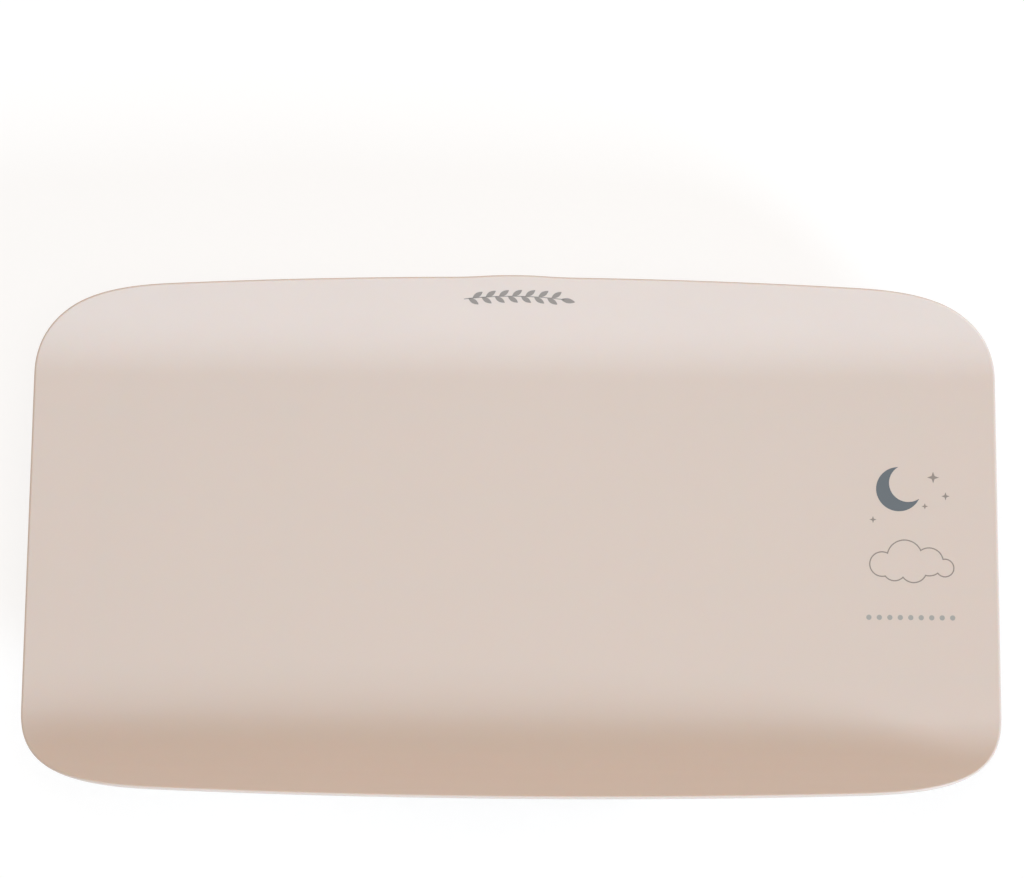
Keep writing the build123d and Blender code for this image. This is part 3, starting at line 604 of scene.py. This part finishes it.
def brushed_steel(name, colour, roughness, streak):
    """Worked steel: fine streaks along X as bump, which draw the highlights out, and gloss that wanders."""
    material, tree, place = new_finish(name)
    along = (1 / (12 * streak), 1 / streak, 1 / streak)
    stretch = add_node(tree, "ShaderNodeMapping", {"Scale": along}, {"Vector": place})
    fine = {"Scale": 1.0, "Detail": 3.0}
    lines = add_node(tree, "ShaderNodeTexNoise", fine, {"Vector": stretch.outputs[0]})
    shallow = {"Strength": 0.6, "Distance": 0.01 * MM}
    bump = add_node(tree, "ShaderNodeBump", shallow, {"Height": lines.outputs[0]})
    spread = {"To Min": roughness - 0.08, "To Max": roughness + 0.08}
    gloss = add_node(tree, "ShaderNodeMapRange", spread, {"Value": lines.outputs[0]})
    links = {"Roughness": gloss.outputs[0], "Normal": bump.outputs[0]}
    surface(tree, {"Base Color": linear(colour), "Metallic": 1.0}, links)
    return material


deselect()
head_middle = (0, 0, (head_top + head_bottom) / 2)
bpy.ops.mesh.primitive_cylinder_add(
    vertices=40, radius=head_radius, depth=head_top - head_bottom, location=head_middle
)
screw = bpy.context.object
bpy.ops.object.transform_apply(location=True, rotation=True, scale=True)
open_up(screw)
pick("edges", lambda edge: max(corner.co.z for corner in edge.verts) < head_bottom + 0.1 * MM)
bpy.ops.mesh.bevel(offset=head_rounding, segments=4, affect="EDGES")
deselect()
for turn in (0, 90):
    bpy.ops.mesh.primitive_cube_add(size=1, location=(0, 0, head_bottom))
    slot = bpy.context.object
    bpy.ops.transform.resize(value=recess)
    bpy.ops.object.transform_apply(location=True, rotation=True, scale=True)
    open_up(slot)
    pick("faces", lambda face: face.normal.z > 0.9)
    bpy.ops.transform.resize(value=(0.5, 0.7, 1))
    deselect()
    slot.data.transform(Matrix.Rotation(math.radians(turn), 4, "Z"))
    merge(screw, slot, "DIFFERENCE")
# the shank, drawn out ring by ring: crests and roots in turn stand in for the thread's spiral
rows = [(1.0, head_top - 0.2 * MM), (1.0, head_top + 1 * MM)]  # radii in millimetres, and heights
climb = head_top + 1 * MM
while climb + thread_pitch < shank_top - 1 * MM:
    rows += [(thread_crest, climb + thread_pitch / 2), (thread_root, climb + thread_pitch)]
    climb += thread_pitch
rows += [(0.7, shank_top - 0.4 * MM), (0.15, shank_top - 0.05 * MM)]
deselect()
first_radius, first_z = rows[0]
bpy.ops.mesh.primitive_circle_add(
    vertices=24, radius=first_radius * MM, fill_type="NGON", location=(0, 0, first_z)
)
shank = bpy.context.object
bpy.ops.object.transform_apply(location=True, rotation=True, scale=True)
open_up(shank)
bpy.ops.mesh.flip_normals()
for (radius, z), (last, last_z) in zip(rows[1:], rows):
    push(z=z - last_z)
    bpy.ops.transform.resize(value=(radius / last, radius / last, 1))
bpy.ops.mesh.select_all(action="SELECT")
bpy.ops.mesh.normals_make_consistent(inside=False)
deselect()
screw = joined([screw, shank], "tray_screw")
soften(screw, width=0, limit=35)
# a thin bright plating, which gives a cool grey shine that isn't a mirror
screw_finish = brushed_steel("Steel, zinc plated", "B9BABB", 0.34, 0.4 * MM)
for number, (x, y) in enumerate(screw_places, 1):
    twist = Matrix.Rotation(math.radians(23 * number), 4, "Z")
    copy = placed_copy(screw, f"tray_screw_{number}", moved(x, y) @ twist)
    finish_piece(copy, screw_finish, replaced=["tray_screws"])
bpy.data.objects.remove(screw)

# ---- feet ----
# Four moulded cups of ABS that push on the load cells' tongues and travel half a millimetre, each with a
# pad of soft grey rubber glued under it. The pads' grooves keep them from slipping.

corners = ("rear_right", "rear_left", "front_left", "front_right")
foot_places = ((190, 70), (-190, 70), (-190, -70), (190, -70))
pad_size = 28 * MM
pad_cut = 5.4 * MM
pad_top = 2 * MM
pad_land = 1.7 * MM  # flat ring between two grooves
groove_width = 0.9 * MM
groove_depth = 0.7 * MM
groove_side = 0.15 * MM
# a satin a little darker than the tub's
cup_finish = moulded("ABS, satin foot cup", "D8D1CA", grain=0.7 * MM, depth=0.02 * MM, roughness=0.5)
# natural rubber from a plain steel mould: dull and dark in the grooves, with a blotchy bloom
pad_finish = moulded(
    "Rubber, moulded pad", "8F8882", grain=0.5 * MM, depth=0.03 * MM, roughness=0.8, drift=0.06, patch=9 * MM
)

deselect()
bpy.ops.mesh.primitive_cube_add(size=1, location=(0, 0, pad_top / 2))
bpy.ops.transform.resize(value=(pad_size, pad_size, pad_top))
bpy.ops.object.transform_apply(location=True, rotation=True, scale=True)
pad = bpy.context.object
open_up(pad)
pick("edges", lambda edge: abs(edge.verts[0].co.z - edge.verts[1].co.z) > pad_top / 2)
bpy.ops.mesh.bevel(offset=pad_cut, segments=1, affect="EDGES")
pick("faces", lambda face: face.normal.z < -0.9)
for ring in range(3):
    bpy.ops.mesh.inset(thickness=pad_land)
    bpy.ops.mesh.inset(thickness=groove_side)
    bpy.ops.transform.translate(value=(0, 0, groove_depth))
    bpy.ops.mesh.inset(thickness=groove_width)
    bpy.ops.mesh.inset(thickness=groove_side)
    bpy.ops.transform.translate(value=(0, 0, -groove_depth))
deselect()
soften(pad, width=0.15 * MM, limit=35)
for corner, (x, y) in zip(corners, foot_places):
    copy = placed_copy(pad, f"pad_{corner}", moved(x, y))
    finish_piece(copy, pad_finish, f"foot_{corner}", [f"foot_pad_{corner}"])
    cup = merged_copy(f"foot_cup_{corner}", f"cup_{corner}")
    soften(cup, width=0.5 * MM, segments=3)
    finish_piece(cup, cup_finish, f"foot_{corner}", [f"foot_cup_{corner}"])
bpy.data.objects.remove(pad)

# ---- load cells ----
# Stamped steel plates, one over each foot, with a tongue that bends under the load. Two strain gauges of
# orange film with a grid of foil are glued to each.

# bare spring steel, ground along its length, with a dull grey shine in streaks
cell_finish = brushed_steel("Spring steel, stamped and brushed", "A9ABAD", 0.38, 0.25 * MM)
for corner in corners:
    cell = merged_copy(f"load_cell_{corner}", f"cell_{corner}")
    soften(cell, width=0.15 * MM)
    finish_piece(cell, cell_finish, replaced=[f"load_cell_{corner}"])

# orange film, laminated, in which etched metal lines glint: 0.1 mm apart, drawn at 0.3 mm so that they show
foil_pitch = 0.31416 * MM
gauge_finish, tree, place = new_finish("Polyimide film with a foil grid")
bands = {"Scale": math.pi / 10 / foil_pitch, "wave_type": "BANDS"}
grid = add_node(tree, "ShaderNodeTexWave", bands, {"Vector": place})
lines = add_node(tree, "ShaderNodeMath", {"operation": "GREATER_THAN", 1: 0.6}, {0: grid.outputs[1]})
film_or_foil = {"data_type": "RGBA", 6: linear("B9802E"), 7: linear("8C8F90")}
tone = add_node(tree, "ShaderNodeMix", film_or_foil, {0: lines.outputs[0]})
links = {"Base Color": tone.outputs[2], "Metallic": lines.outputs[0]}
surface(tree, {"Roughness": 0.35, "Coat Weight": 0.4}, links)
gauges = merged_copy("strain_gauges", "gauges")
soften(gauges, width=0.12 * MM)
finish_piece(gauges, gauge_finish, replaced=["strain_gauges"])

# ---- console panel ----
# A moulded front of ABS, 1.8 mm thick, that snaps in and leans back 20 degrees. It holds the display's
# window and guides the three buttons.

console_face = moved(0, -133, 30.5) @ Matrix.Rotation(math.radians(90 - 20), 4, "X")
# a darker taupe with a closer satin than the tub's, which frames the display
panel_finish = moulded("ABS, satin panel", "B7A99F", grain=0.6 * MM, depth=0.015 * MM, roughness=0.45)
panel = merged_copy("console_panel", "panel")
soften(panel, width=0.25 * MM)
finish_piece(panel, panel_finish, replaced=["console_panel"])

# ---- display window ----
# A clear acrylic lens, cut and polished, bonded flush into the panel. Its back is printed with a dark
# border, which hides the edge of the display behind it.

window_x = -28 * MM
lens_back = -0.9 * MM
border_size = (66 * MM, 26 * MM, 0.06 * MM)
border_width = 3 * MM
border_corner = 1.2 * MM
# clear as glass, with the faint haze of a cloth that wiped it
lens_finish, tree, place = new_finish("Acrylic, clear and polished")
wipe = add_node(tree, "ShaderNodeTexNoise", {"Scale": 1 / (9 * MM), "Detail": 4.0}, {"Vector": place})
haze = add_node(tree, "ShaderNodeMapRange", {"To Min": 0.0, "To Max": 0.05}, {"Value": wipe.outputs[0]})
clear = {"Base Color": (0.97, 0.98, 0.98, 1.0), "IOR": 1.49, "Transmission Weight": 1.0}
surface(tree, clear, {"Roughness": haze.outputs[0]})
lens = merged_copy("display_window", "lens")
soften(lens, width=0.2 * MM, segments=3)
finish_piece(lens, lens_finish, replaced=["display_window"])


def block(size, at, name):
    """A rectangular block of a size, around a place."""
    deselect()
    bpy.ops.mesh.primitive_cube_add(size=1)
    piece = bpy.context.object
    piece.name = name
    piece.data.transform(Matrix.Translation(at) @ Matrix.Diagonal((*size, 1)))
    return piece


mask = block(border_size, (window_x, 0, lens_back - border_size[2]), "lens_border")
open_up(mask)
pick("faces", lambda face: abs(face.normal.z) > 0.9)
bpy.ops.mesh.inset(thickness=border_width)
bpy.ops.mesh.bridge_edge_loops()
pick("edges", lambda edge: abs(edge.verts[0].co.z - edge.verts[1].co.z) > 0.05 * MM)
bpy.ops.mesh.bevel(offset=border_corner, segments=5, affect="EDGES")
deselect()
mask.data.transform(console_face)
# ink pressed through a screen: dense and even, seen glossy through the lens
mask_finish = moulded(
    "Screen-printed border, dark taupe", "4A443F", grain=0.3 * MM, depth=0.003 * MM, roughness=0.4
)
finish_piece(mask, mask_finish)

# ---- liquid-crystal display ----
# Two bonded sheets of glass that a frame clips to the board. The digits are the seven-bar kind, dark where
# they are on, and it rests at zero with its unit beside it.

# a sparkling grey-green mirror film under a hard, shiny pane
lcd_finish, tree, place = new_finish("Liquid-crystal glass with a mirror film")
film = add_node(tree, "ShaderNodeTexNoise", {"Scale": 1 / (0.25 * MM), "Detail": 1.0}, {"Vector": place})
greens = {"data_type": "RGBA", 6: linear("98A294"), 7: linear("A8B1A3")}
tone = add_node(tree, "ShaderNodeMix", greens, {0: film.outputs[0]})
pane = {"Roughness": 0.3, "IOR": 1.52, "Coat Weight": 0.6, "Coat Roughness": 0.05}
surface(tree, pane, {"Base Color": tone.outputs[2]})
lcd = merged_copy("lcd_glass", "lcd")
soften(lcd, width=0.15 * MM)
finish_piece(lcd, lcd_finish, replaced=["lcd_glass"])

digit_height = 13 * MM
digit_width = 7 * MM
digit_places = (-16, -5.5, 5)  # in millimetres from the middle of the window
point_place = -10.9
bar_width = 1.4 * MM
bar_gap = 0.15 * MM
digit_depth = -2.0 * MM
bar_film = 0.02 * MM
slant = 0.1
unit_size = 7.5 * MM
unit_place = (12.5, -5.5)
deselect()
bpy.ops.mesh.primitive_cylinder_add(
    vertices=6, radius=bar_width / math.sqrt(3), depth=2 * bar_film, rotation=(0, 0, math.radians(90))
)
bar = bpy.context.object
bpy.ops.object.transform_apply(location=True, rotation=True, scale=True)
open_up(bar)
for side in (1, -1):
    pick("verts", lambda corner: corner.co.x * side > 0.1 * MM)
    bpy.ops.transform.translate(value=(side * (digit_height / 2 - bar_width / 2 - bar_gap) / 2, 0, 0))
deselect()
lying = Matrix.Diagonal(((digit_width - bar_width) / (digit_height / 2 - bar_gap), 1, 1, 1))
standing = Matrix.Rotation(math.pi / 2, 4, "Z")
# the six bars of a zero, from its middle, in halves of its width and height
zero_bars = (
    (0, 1, lying),
    (0, -1, lying),
    (-1, 0.5, standing),
    (1, 0.5, standing),
    (-1, -0.5, standing),
    (1, -0.5, standing),
)
shown = []
for digit_x in digit_places:
    for along, up, pose in zero_bars:
        x, y = along * (digit_width - bar_width) / 2, up * (digit_height - bar_width) / 2
        copy = placed_copy(bar, "bar", Matrix.Translation((x + y * slant, y, 0)) @ pose)
        copy.data.transform(Matrix.Translation((window_x + digit_x * MM, 0, digit_depth)))
        shown.append(copy)
bpy.data.objects.remove(bar)
point_at = (window_x + point_place * MM, -(digit_height - bar_width) / 2, digit_depth)
shown.append(block((bar_width, bar_width, 2 * bar_film), point_at, "point"))
deselect()
bpy.ops.object.text_add()
unit = bpy.context.object
unit.data.body = "kg"
unit.data.size = unit_size
unit.data.extrude = bar_film
bpy.ops.object.convert(target="MESH")
unit.data.transform(Matrix.Translation((window_x + unit_place[0] * MM, unit_place[1] * MM, digit_depth)))
shown.append(unit)
# crystals that block the light: nearly black, as shiny as the glass they lie in
digit_finish = moulded("Liquid crystal, dark", "2E3432", grain=0.3 * MM, depth=0.001 * MM, roughness=0.3)
shown = joined(shown, "lcd_digits")
open_up(shown)
bpy.ops.mesh.remove_doubles(threshold=0.001 * MM)
bpy.ops.mesh.normals_make_consistent(inside=False)
deselect()
shown.data.transform(console_face)
finish_piece(shown, digit_finish)

# ---- behind the display ----
# A moulded white frame clips the glass to the board, two strips of layered rubber carry its signals, and an
# acrylic plate behind it spreads the light.

# a bright white satin, and a sanded plate that looks milky and matt
frame_finish = moulded("ABS, white frame", "F0F0EC", grain=0.7 * MM, depth=0.01 * MM, roughness=0.5)
guide_finish = moulded("Acrylic, frosted", "EDEFF0", grain=0.4 * MM, depth=0.02 * MM, roughness=0.65)
# dull rubber, grey and black in turn: layers of 0.1 mm, drawn at 0.4 mm so that they show
layer_pitch = 0.377 * MM
zebra_finish, tree, place = new_finish("Silicone rubber with carbon stripes")
bands = {"Scale": math.pi / 10 / layer_pitch, "wave_type": "BANDS"}
stripes = add_node(tree, "ShaderNodeTexWave", bands, {"Vector": place})
greys = {"data_type": "RGBA", 6: linear("2B2C2E"), 7: linear("7C7F82")}
tone = add_node(tree, "ShaderNodeMix", greys, {0: stripes.outputs[1]})
surface(tree, {"Roughness": 0.7}, {"Base Color": tone.outputs[2]})
for node, name, finish, slot in (
    ("lcd_frame", "display_frame", frame_finish, "frame_plastic"),
    ("backlight_plate", "light_plate", guide_finish, "light_guide"),
    ("zebra_strips", "contact_strips", zebra_finish, "zebra_rubber"),
):
    piece = merged_copy(node, name)
    soften(piece, width=0.15 * MM)
    finish_piece(piece, finish, replaced=[node])

# ---- buttons ----
# Three moulded keys of off-white ABS that press half a millimetre on the switches behind them, each with
# its sign pad-printed on the face: power, tare and the unit.

sign_height = 0.8 * MM  # of the keys' faces in front of the panel's
letter_size = 3.2 * MM
power_x = 19 * MM
tare_x = 36.5 * MM
unit_x = 54 * MM
# worn a little smoother than the rest by fingers, so that the soft edges catch the light
button_finish = moulded("ABS, satin key", "E9E3DC", grain=0.6 * MM, depth=0.012 * MM, roughness=0.42)
# flat and dull against the key
sign_finish = moulded(
    "Pad-printing ink, dark taupe", "5E554F", grain=0.3 * MM, depth=0.003 * MM, roughness=0.6
)


def words(text, x):
    """Raised lettering, flat on the console's face and centred on a button."""
    deselect()
    bpy.ops.object.text_add()
    piece = bpy.context.object
    piece.data.body = text
    piece.data.size = letter_size
    piece.data.align_x = "CENTER"
    piece.data.align_y = "CENTER"
    piece.data.extrude = ink_height
    bpy.ops.object.convert(target="MESH")
    open_up(piece)
    bpy.ops.mesh.remove_doubles(threshold=0.001 * MM)
    deselect()
    piece.data.transform(Matrix.Translation((x, 0, sign_height)))
    return piece


# the power sign: a ring with a gap, and a bar that stands in it
ring = disc(2.3 * MM)
hollow = disc(1.85 * MM)
hollow.data.transform(past_both)
merge(ring, hollow, "DIFFERENCE")
gap = block((1.7 * MM, 1.6 * MM, 6 * ink_height), (0, 2.0 * MM, 0), "gap")
merge(ring, gap, "DIFFERENCE")
stroke = block((0.45 * MM, 2.2 * MM, 2 * ink_height), (0, 1.6 * MM, 0), "stroke")
merge(ring, stroke, "UNION")
ring.data.transform(Matrix.Translation((power_x, 0, sign_height)))
signs = {"power": ring, "tare": words("TARE", tare_x), "unit": words("kg/lb", unit_x)}
for button, sign in signs.items():
    key = merged_copy(f"{button}_button", f"{button}_key")
    soften(key, width=0.35 * MM, segments=3)
    finish_piece(key, button_finish, f"{button}_button", [f"{button}_button"])
    sign.name = f"{button}_sign"
    sign.data.transform(console_face)
    finish_piece(sign, sign_finish, f"{button}_button")

# ---- circuit board and its parts ----
# Glass-fibre board under green solder resist, etched and soldered, and screwed to two bosses in the
# console. On it sit three square push switches, a few chips and the sockets of the leads.

# shiny green lacquer, paler and raised a little where copper lies under it, in angular patches 3.2 mm apart
copper_pitch = 3.2 * MM
copper_height = 0.03 * MM
board_finish, tree, place = new_finish("Glass-fibre board, green solder resist")
angular = {"Scale": 1 / copper_pitch, "distance": "MANHATTAN", "feature": "F1"}
tracks = add_node(tree, "ShaderNodeTexVoronoi", angular, {"Vector": place})
copper = add_node(tree, "ShaderNodeMath", {"operation": "GREATER_THAN", 1: 0.72}, {0: tracks.outputs[0]})
greens = {"data_type": "RGBA", 6: linear("1F6B45"), 7: linear("2F8456")}
tone = add_node(tree, "ShaderNodeMix", greens, {0: copper.outputs[0]})
raised = {"Strength": 0.8, "Distance": copper_height}
relief = add_node(tree, "ShaderNodeBump", raised, {"Height": copper.outputs[0]})
links = {"Base Color": tone.outputs[2], "Normal": relief.outputs[0]}
surface(tree, {"Roughness": 0.35, "Coat Weight": 0.3}, links)
# black satin, black and duller with a fine moulded frost, and warm white satin
switch_finish = moulded("Nylon, black switch body", "2B2C2E", grain=0.5 * MM, depth=0.01 * MM, roughness=0.5)
chip_finish = moulded(
    "Epoxy, moulded chip", "232426", grain=0.3 * MM, depth=0.012 * MM, roughness=0.6, drift=0.08
)
socket_finish = moulded("Nylon, ivory socket", "EFEBDD", grain=0.6 * MM, depth=0.01 * MM, roughness=0.5)
for node, name, finish, slot, width in (
    ("main_board", "board", board_finish, "circuit_board", 0.1),
    ("board_screws", "small_screws", screw_finish, "screw_steel", 0.2),
    ("tact_switches", "switches", switch_finish, "switch_plastic", 0.2),
    ("board_chips", "chips", chip_finish, "chip_plastic", 0.15),
    ("lead_connectors", "sockets", socket_finish, "connector_plastic", 0.25),
):
    piece = merged_copy(node, name)
    soften(piece, width=width * MM)
    finish_piece(piece, finish, replaced=[node])

# ---- battery cells and contacts ----
# Three slim cells lie head to tail in their pocket: a steel can in a shrunk plastic sleeve, with a nub at
# one end. Nickel-plated spring steel joins them in a row.

cell_radius = 5.25 * MM
cell_length = 44.5 * MM
nub_height = 0.8 * MM
nub_shoulder = 2.05 * MM
crimp_width = 1.1 * MM  # ring of sleeve folded over each end
crimp_side = 0.2 * MM
crimp_depth = 0.35 * MM
crimp_depth_flat = 0.25 * MM
band_half = 9 * MM
sleeve_half = 20.6 * MM  # beyond this the steel can is bare
# smooth shrunk film with a pale printed band, and bright steel at the ends, all with a slightly wavy gloss
sleeve_finish, tree, place = new_finish("Heat-shrunk sleeve, printed in two greys")
split = add_node(tree, "ShaderNodeSeparateXYZ", {}, {0: place})
reach = add_node(tree, "ShaderNodeMath", {"operation": "ABSOLUTE"}, {0: split.outputs[0]})
band = add_node(tree, "ShaderNodeMath", {"operation": "LESS_THAN", 1: band_half}, {0: reach.outputs[0]})
bare = add_node(tree, "ShaderNodeMath", {"operation": "GREATER_THAN", 1: sleeve_half}, {0: reach.outputs[0]})
greys = {"data_type": "RGBA", 6: linear("5F6B74"), 7: linear("A9B2B8")}
print_tone = add_node(tree, "ShaderNodeMix", greys, {0: band.outputs[0]})
steel = {"data_type": "RGBA", 7: linear("C2C4C5")}
tone = add_node(tree, "ShaderNodeMix", steel, {0: bare.outputs[0], 6: print_tone.outputs[2]})
wander = add_node(tree, "ShaderNodeTexNoise", {"Scale": 1 / (4 * MM)}, {"Vector": place})
gloss = add_node(tree, "ShaderNodeMapRange", {"To Min": 0.22, "To Max": 0.34}, {"Value": wander.outputs[0]})
links = {"Base Color": tone.outputs[2], "Metallic": bare.outputs[0], "Roughness": gloss.outputs[0]}
surface(tree, {"Coat Weight": 0.3}, links)
deselect()
bpy.ops.mesh.primitive_cylinder_add(
    vertices=48, radius=cell_radius, depth=cell_length - nub_height, rotation=(0, math.radians(90), 0)
)
bpy.ops.object.transform_apply(location=True, rotation=True, scale=True)
battery = bpy.context.object
open_up(battery)
for end, depth in ((1, crimp_depth), (-1, crimp_depth_flat)):
    pick("faces", lambda face: face.normal.x * end > 0.9)
    bpy.ops.mesh.inset(thickness=crimp_width)
    bpy.ops.mesh.inset(thickness=crimp_side)
    bpy.ops.transform.translate(value=(-end * depth, 0, 0))
    if end == 1:
        bpy.ops.mesh.inset(thickness=nub_shoulder)
        push(x=crimp_depth + nub_height)
deselect()
battery.data.transform(Matrix.Translation((-nub_height / 2, 0, 0)))
soften(battery, width=0.3 * MM, segments=3)
for number, turned in ((1, 180), (2, 0), (3, 180)):
    low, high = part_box(f"battery_cell_{number}")
    way = Matrix.Rotation(math.radians(turned), 4, "Z")
    copy = placed_copy(battery, f"battery_{number}", Matrix.Translation((low + high) / 2) @ way)
    finish_piece(copy, sleeve_finish, replaced=[f"battery_cell_{number}"])
bpy.data.objects.remove(battery)

# thin plating over spring steel, brighter and more even than the screws'
contact_finish = brushed_steel("Spring steel, nickel plated", "C9CBCC", 0.22, 0.3 * MM)
contacts = merged_copy("battery_contacts", "contacts")
soften(contacts, width=0.06 * MM)
finish_piece(contacts, contact_finish, replaced=["battery_contacts"])

# ---- battery door ----
# A flap of the tub's own plastic, hinged on two pins at its rear edge and held at the front by a U-shaped
# latch. Five raised bars give a fingertip its grip.

first_grip_y = 15 * MM
grip_pitch = 2.4 * MM
grip_bar = (1.1 * MM, 0.9 * MM)  # width, and height of which half stands out
grip_break = 0.3 * MM
door = merged_copy("battery_door", "door")
soften(door, width=0.25 * MM)
bars = []
for number in range(5):
    size = ((18 - 2 * number) * MM, *grip_bar)
    bars.append(block(size, (0, first_grip_y + number * grip_pitch, underside), "grip"))
bars = joined(bars, "grip")
open_up(bars)
pick("edges", lambda edge: max(corner.co.z for corner in edge.verts) < underside - 0.1 * MM)
bpy.ops.mesh.bevel(offset=grip_break, segments=3, affect="EDGES")
deselect()
soften(bars, width=0)
door = joined([door, bars], "door")
finish_piece(door, tub_finish, "battery_door", ["battery_door"])

# ---- leads ----
# Thin wires in grey plastic, a bundle from each load cell and a pair from the battery pocket, laid over the
# ribs of the tub and plugged into the board.

# drawn through a die, soft and waxy, with a tone that changes along the bundle
lead_finish = moulded(
    "Soft PVC, wire sheath",
    "C9C6C0",
    grain=1.2 * MM,
    depth=0.05 * MM,
    roughness=0.55,
    drift=0.05,
    patch=6 * MM,
)
for node in [f"cell_lead_{corner}" for corner in corners] + ["battery_lead"]:
    lead = merged_copy(node, f"{node}_wires")
    soften(lead, width=0.7 * MM, segments=3)
    finish_piece(lead, lead_finish, replaced=[node])

# ---- stage, light and camera ----
# A plain white floor and a soft studio light: a dim warm sky, a round lamp above, a cooler one in front at
# the right, and a faint broad one behind.

deselect()
bpy.ops.mesh.primitive_plane_add(size=8, location=(0, 0, 0))
floor = bpy.context.object
floor.name = "floor"


def seen_directly(tree):
    """1 for what the camera sees, also by way of gloss or glass, and 0 for other light."""
    path = add_node(tree, "ShaderNodeLightPath")
    seen = path.outputs["Is Camera Ray"]
    for ray in ("Is Glossy Ray", "Is Transmission Ray"):
        either = add_node(tree, "ShaderNodeMath", {"operation": "MAXIMUM"}, {0: seen, 1: path.outputs[ray]})
        seen = either.outputs[0]
    return seen


# matt paint that lights the object from below; seen directly, it glows nearly white and keeps faint shadows
floor_glow = 0.8
floor_finish, tree, place = new_finish("Painted studio floor, white")
seen = seen_directly(tree)
paints = {"data_type": "RGBA", 6: (0.88, 0.88, 0.87, 1.0), 7: (0.25, 0.25, 0.25, 1.0)}
paint = add_node(tree, "ShaderNodeMix", paints, {0: seen})
lift = add_node(tree, "ShaderNodeMath", {"operation": "MULTIPLY", 1: floor_glow}, {0: seen})
matt = add_node(tree, "ShaderNodeBsdfDiffuse", {}, {"Color": paint.outputs[2]})
glow = add_node(tree, "ShaderNodeEmission", {"Color": (1.0, 1.0, 1.0, 1.0)}, {"Strength": lift.outputs[0]})
both = add_node(tree, "ShaderNodeAddShader", {}, {0: matt.outputs[0], 1: glow.outputs[0]})
add_node(tree, "ShaderNodeOutputMaterial", links={"Surface": both.outputs[0]})
floor.data.materials.append(floor_finish)

# the sky: warm, brighter at the horizon than overhead, and plain white where it is seen
sky_colour = (1.0, 0.90, 0.795, 1.0)
sky_levels = {"To Min": 0.745, "To Max": 0.29}
world = bpy.data.worlds.new("studio")
bpy.context.scene.world = world
world.use_nodes = True
tree = world.node_tree
tree.nodes.clear()
way = add_node(tree, "ShaderNodeTexCoord").outputs["Generated"]
height = add_node(tree, "ShaderNodeSeparateXYZ", {}, {0: way}).outputs["Z"]
level = add_node(tree, "ShaderNodeMapRange", sky_levels, {"Value": height})
sky = add_node(tree, "ShaderNodeBackground", {"Color": sky_colour}, {"Strength": level.outputs[0]})
white = add_node(tree, "ShaderNodeBackground", {"Color": (1.0, 1.0, 1.0, 1.0), "Strength": 1.0})
links = {0: seen_directly(tree), 1: sky.outputs[0], 2: white.outputs[0]}
chosen = add_node(tree, "ShaderNodeMixShader", {}, links)
add_node(tree, "ShaderNodeOutputWorld", links={"Surface": chosen.outputs[0]})


def hang_lamp(name, kind, strength, colour, place):
    """A lamp that shines from a place towards the middle of the object."""
    lamp = bpy.data.lights.new(name, kind)
    lamp.energy = strength
    lamp.color = colour
    piece = bpy.data.objects.new(name, lamp)
    bpy.context.collection.objects.link(piece)
    piece.location = place
    piece.rotation_euler = Vector(place).to_track_quat("Z", "Y").to_euler()
    return piece


# strengths in watts for each square metre of a sun and in watts of the round lamp, and places in metres
cool, amber, cream = (0.65, 0.83, 1.0), (1.0, 0.69, 0.49), (1.0, 0.92, 0.83)
key = hang_lamp("key lamp", "SUN", 2.75, cool, (0.698, -0.60, 0.40))
key.data.angle = math.radians(16)
fill = hang_lamp("rear fill", "SUN", 0.42, amber, (-0.2, 0.75, 0.6))
fill.data.angle = math.radians(90)
top = hang_lamp("top lamp", "AREA", 3.1, cream, (0.1, 0.0, 1.2))
top.data.shape = "DISK"
top.data.size = 0.8
top.visible_camera = False

camera_lens = 121.17
camera_place = (20.4885, -348.694, 2006.305)  # in millimetres
camera_turns = ((2.959, "Z"), (11.86, "X"), (-2.44, "Z"))  # about its own axes, one after the other
camera = bpy.data.objects.new("camera", bpy.data.cameras.new("camera"))
bpy.context.collection.objects.link(camera)
camera.data.sensor_fit = "HORIZONTAL"
camera.data.sensor_width = 36
camera.data.lens = camera_lens
camera.data.clip_end = 20
stance = moved(*camera_place)
for degrees, axis in camera_turns:
    stance = stance @ Matrix.Rotation(math.radians(degrees), 4, axis)
camera.matrix_world = stance
bpy.context.scene.camera = camera
bpy.context.scene.view_settings.view_transform = "Standard"
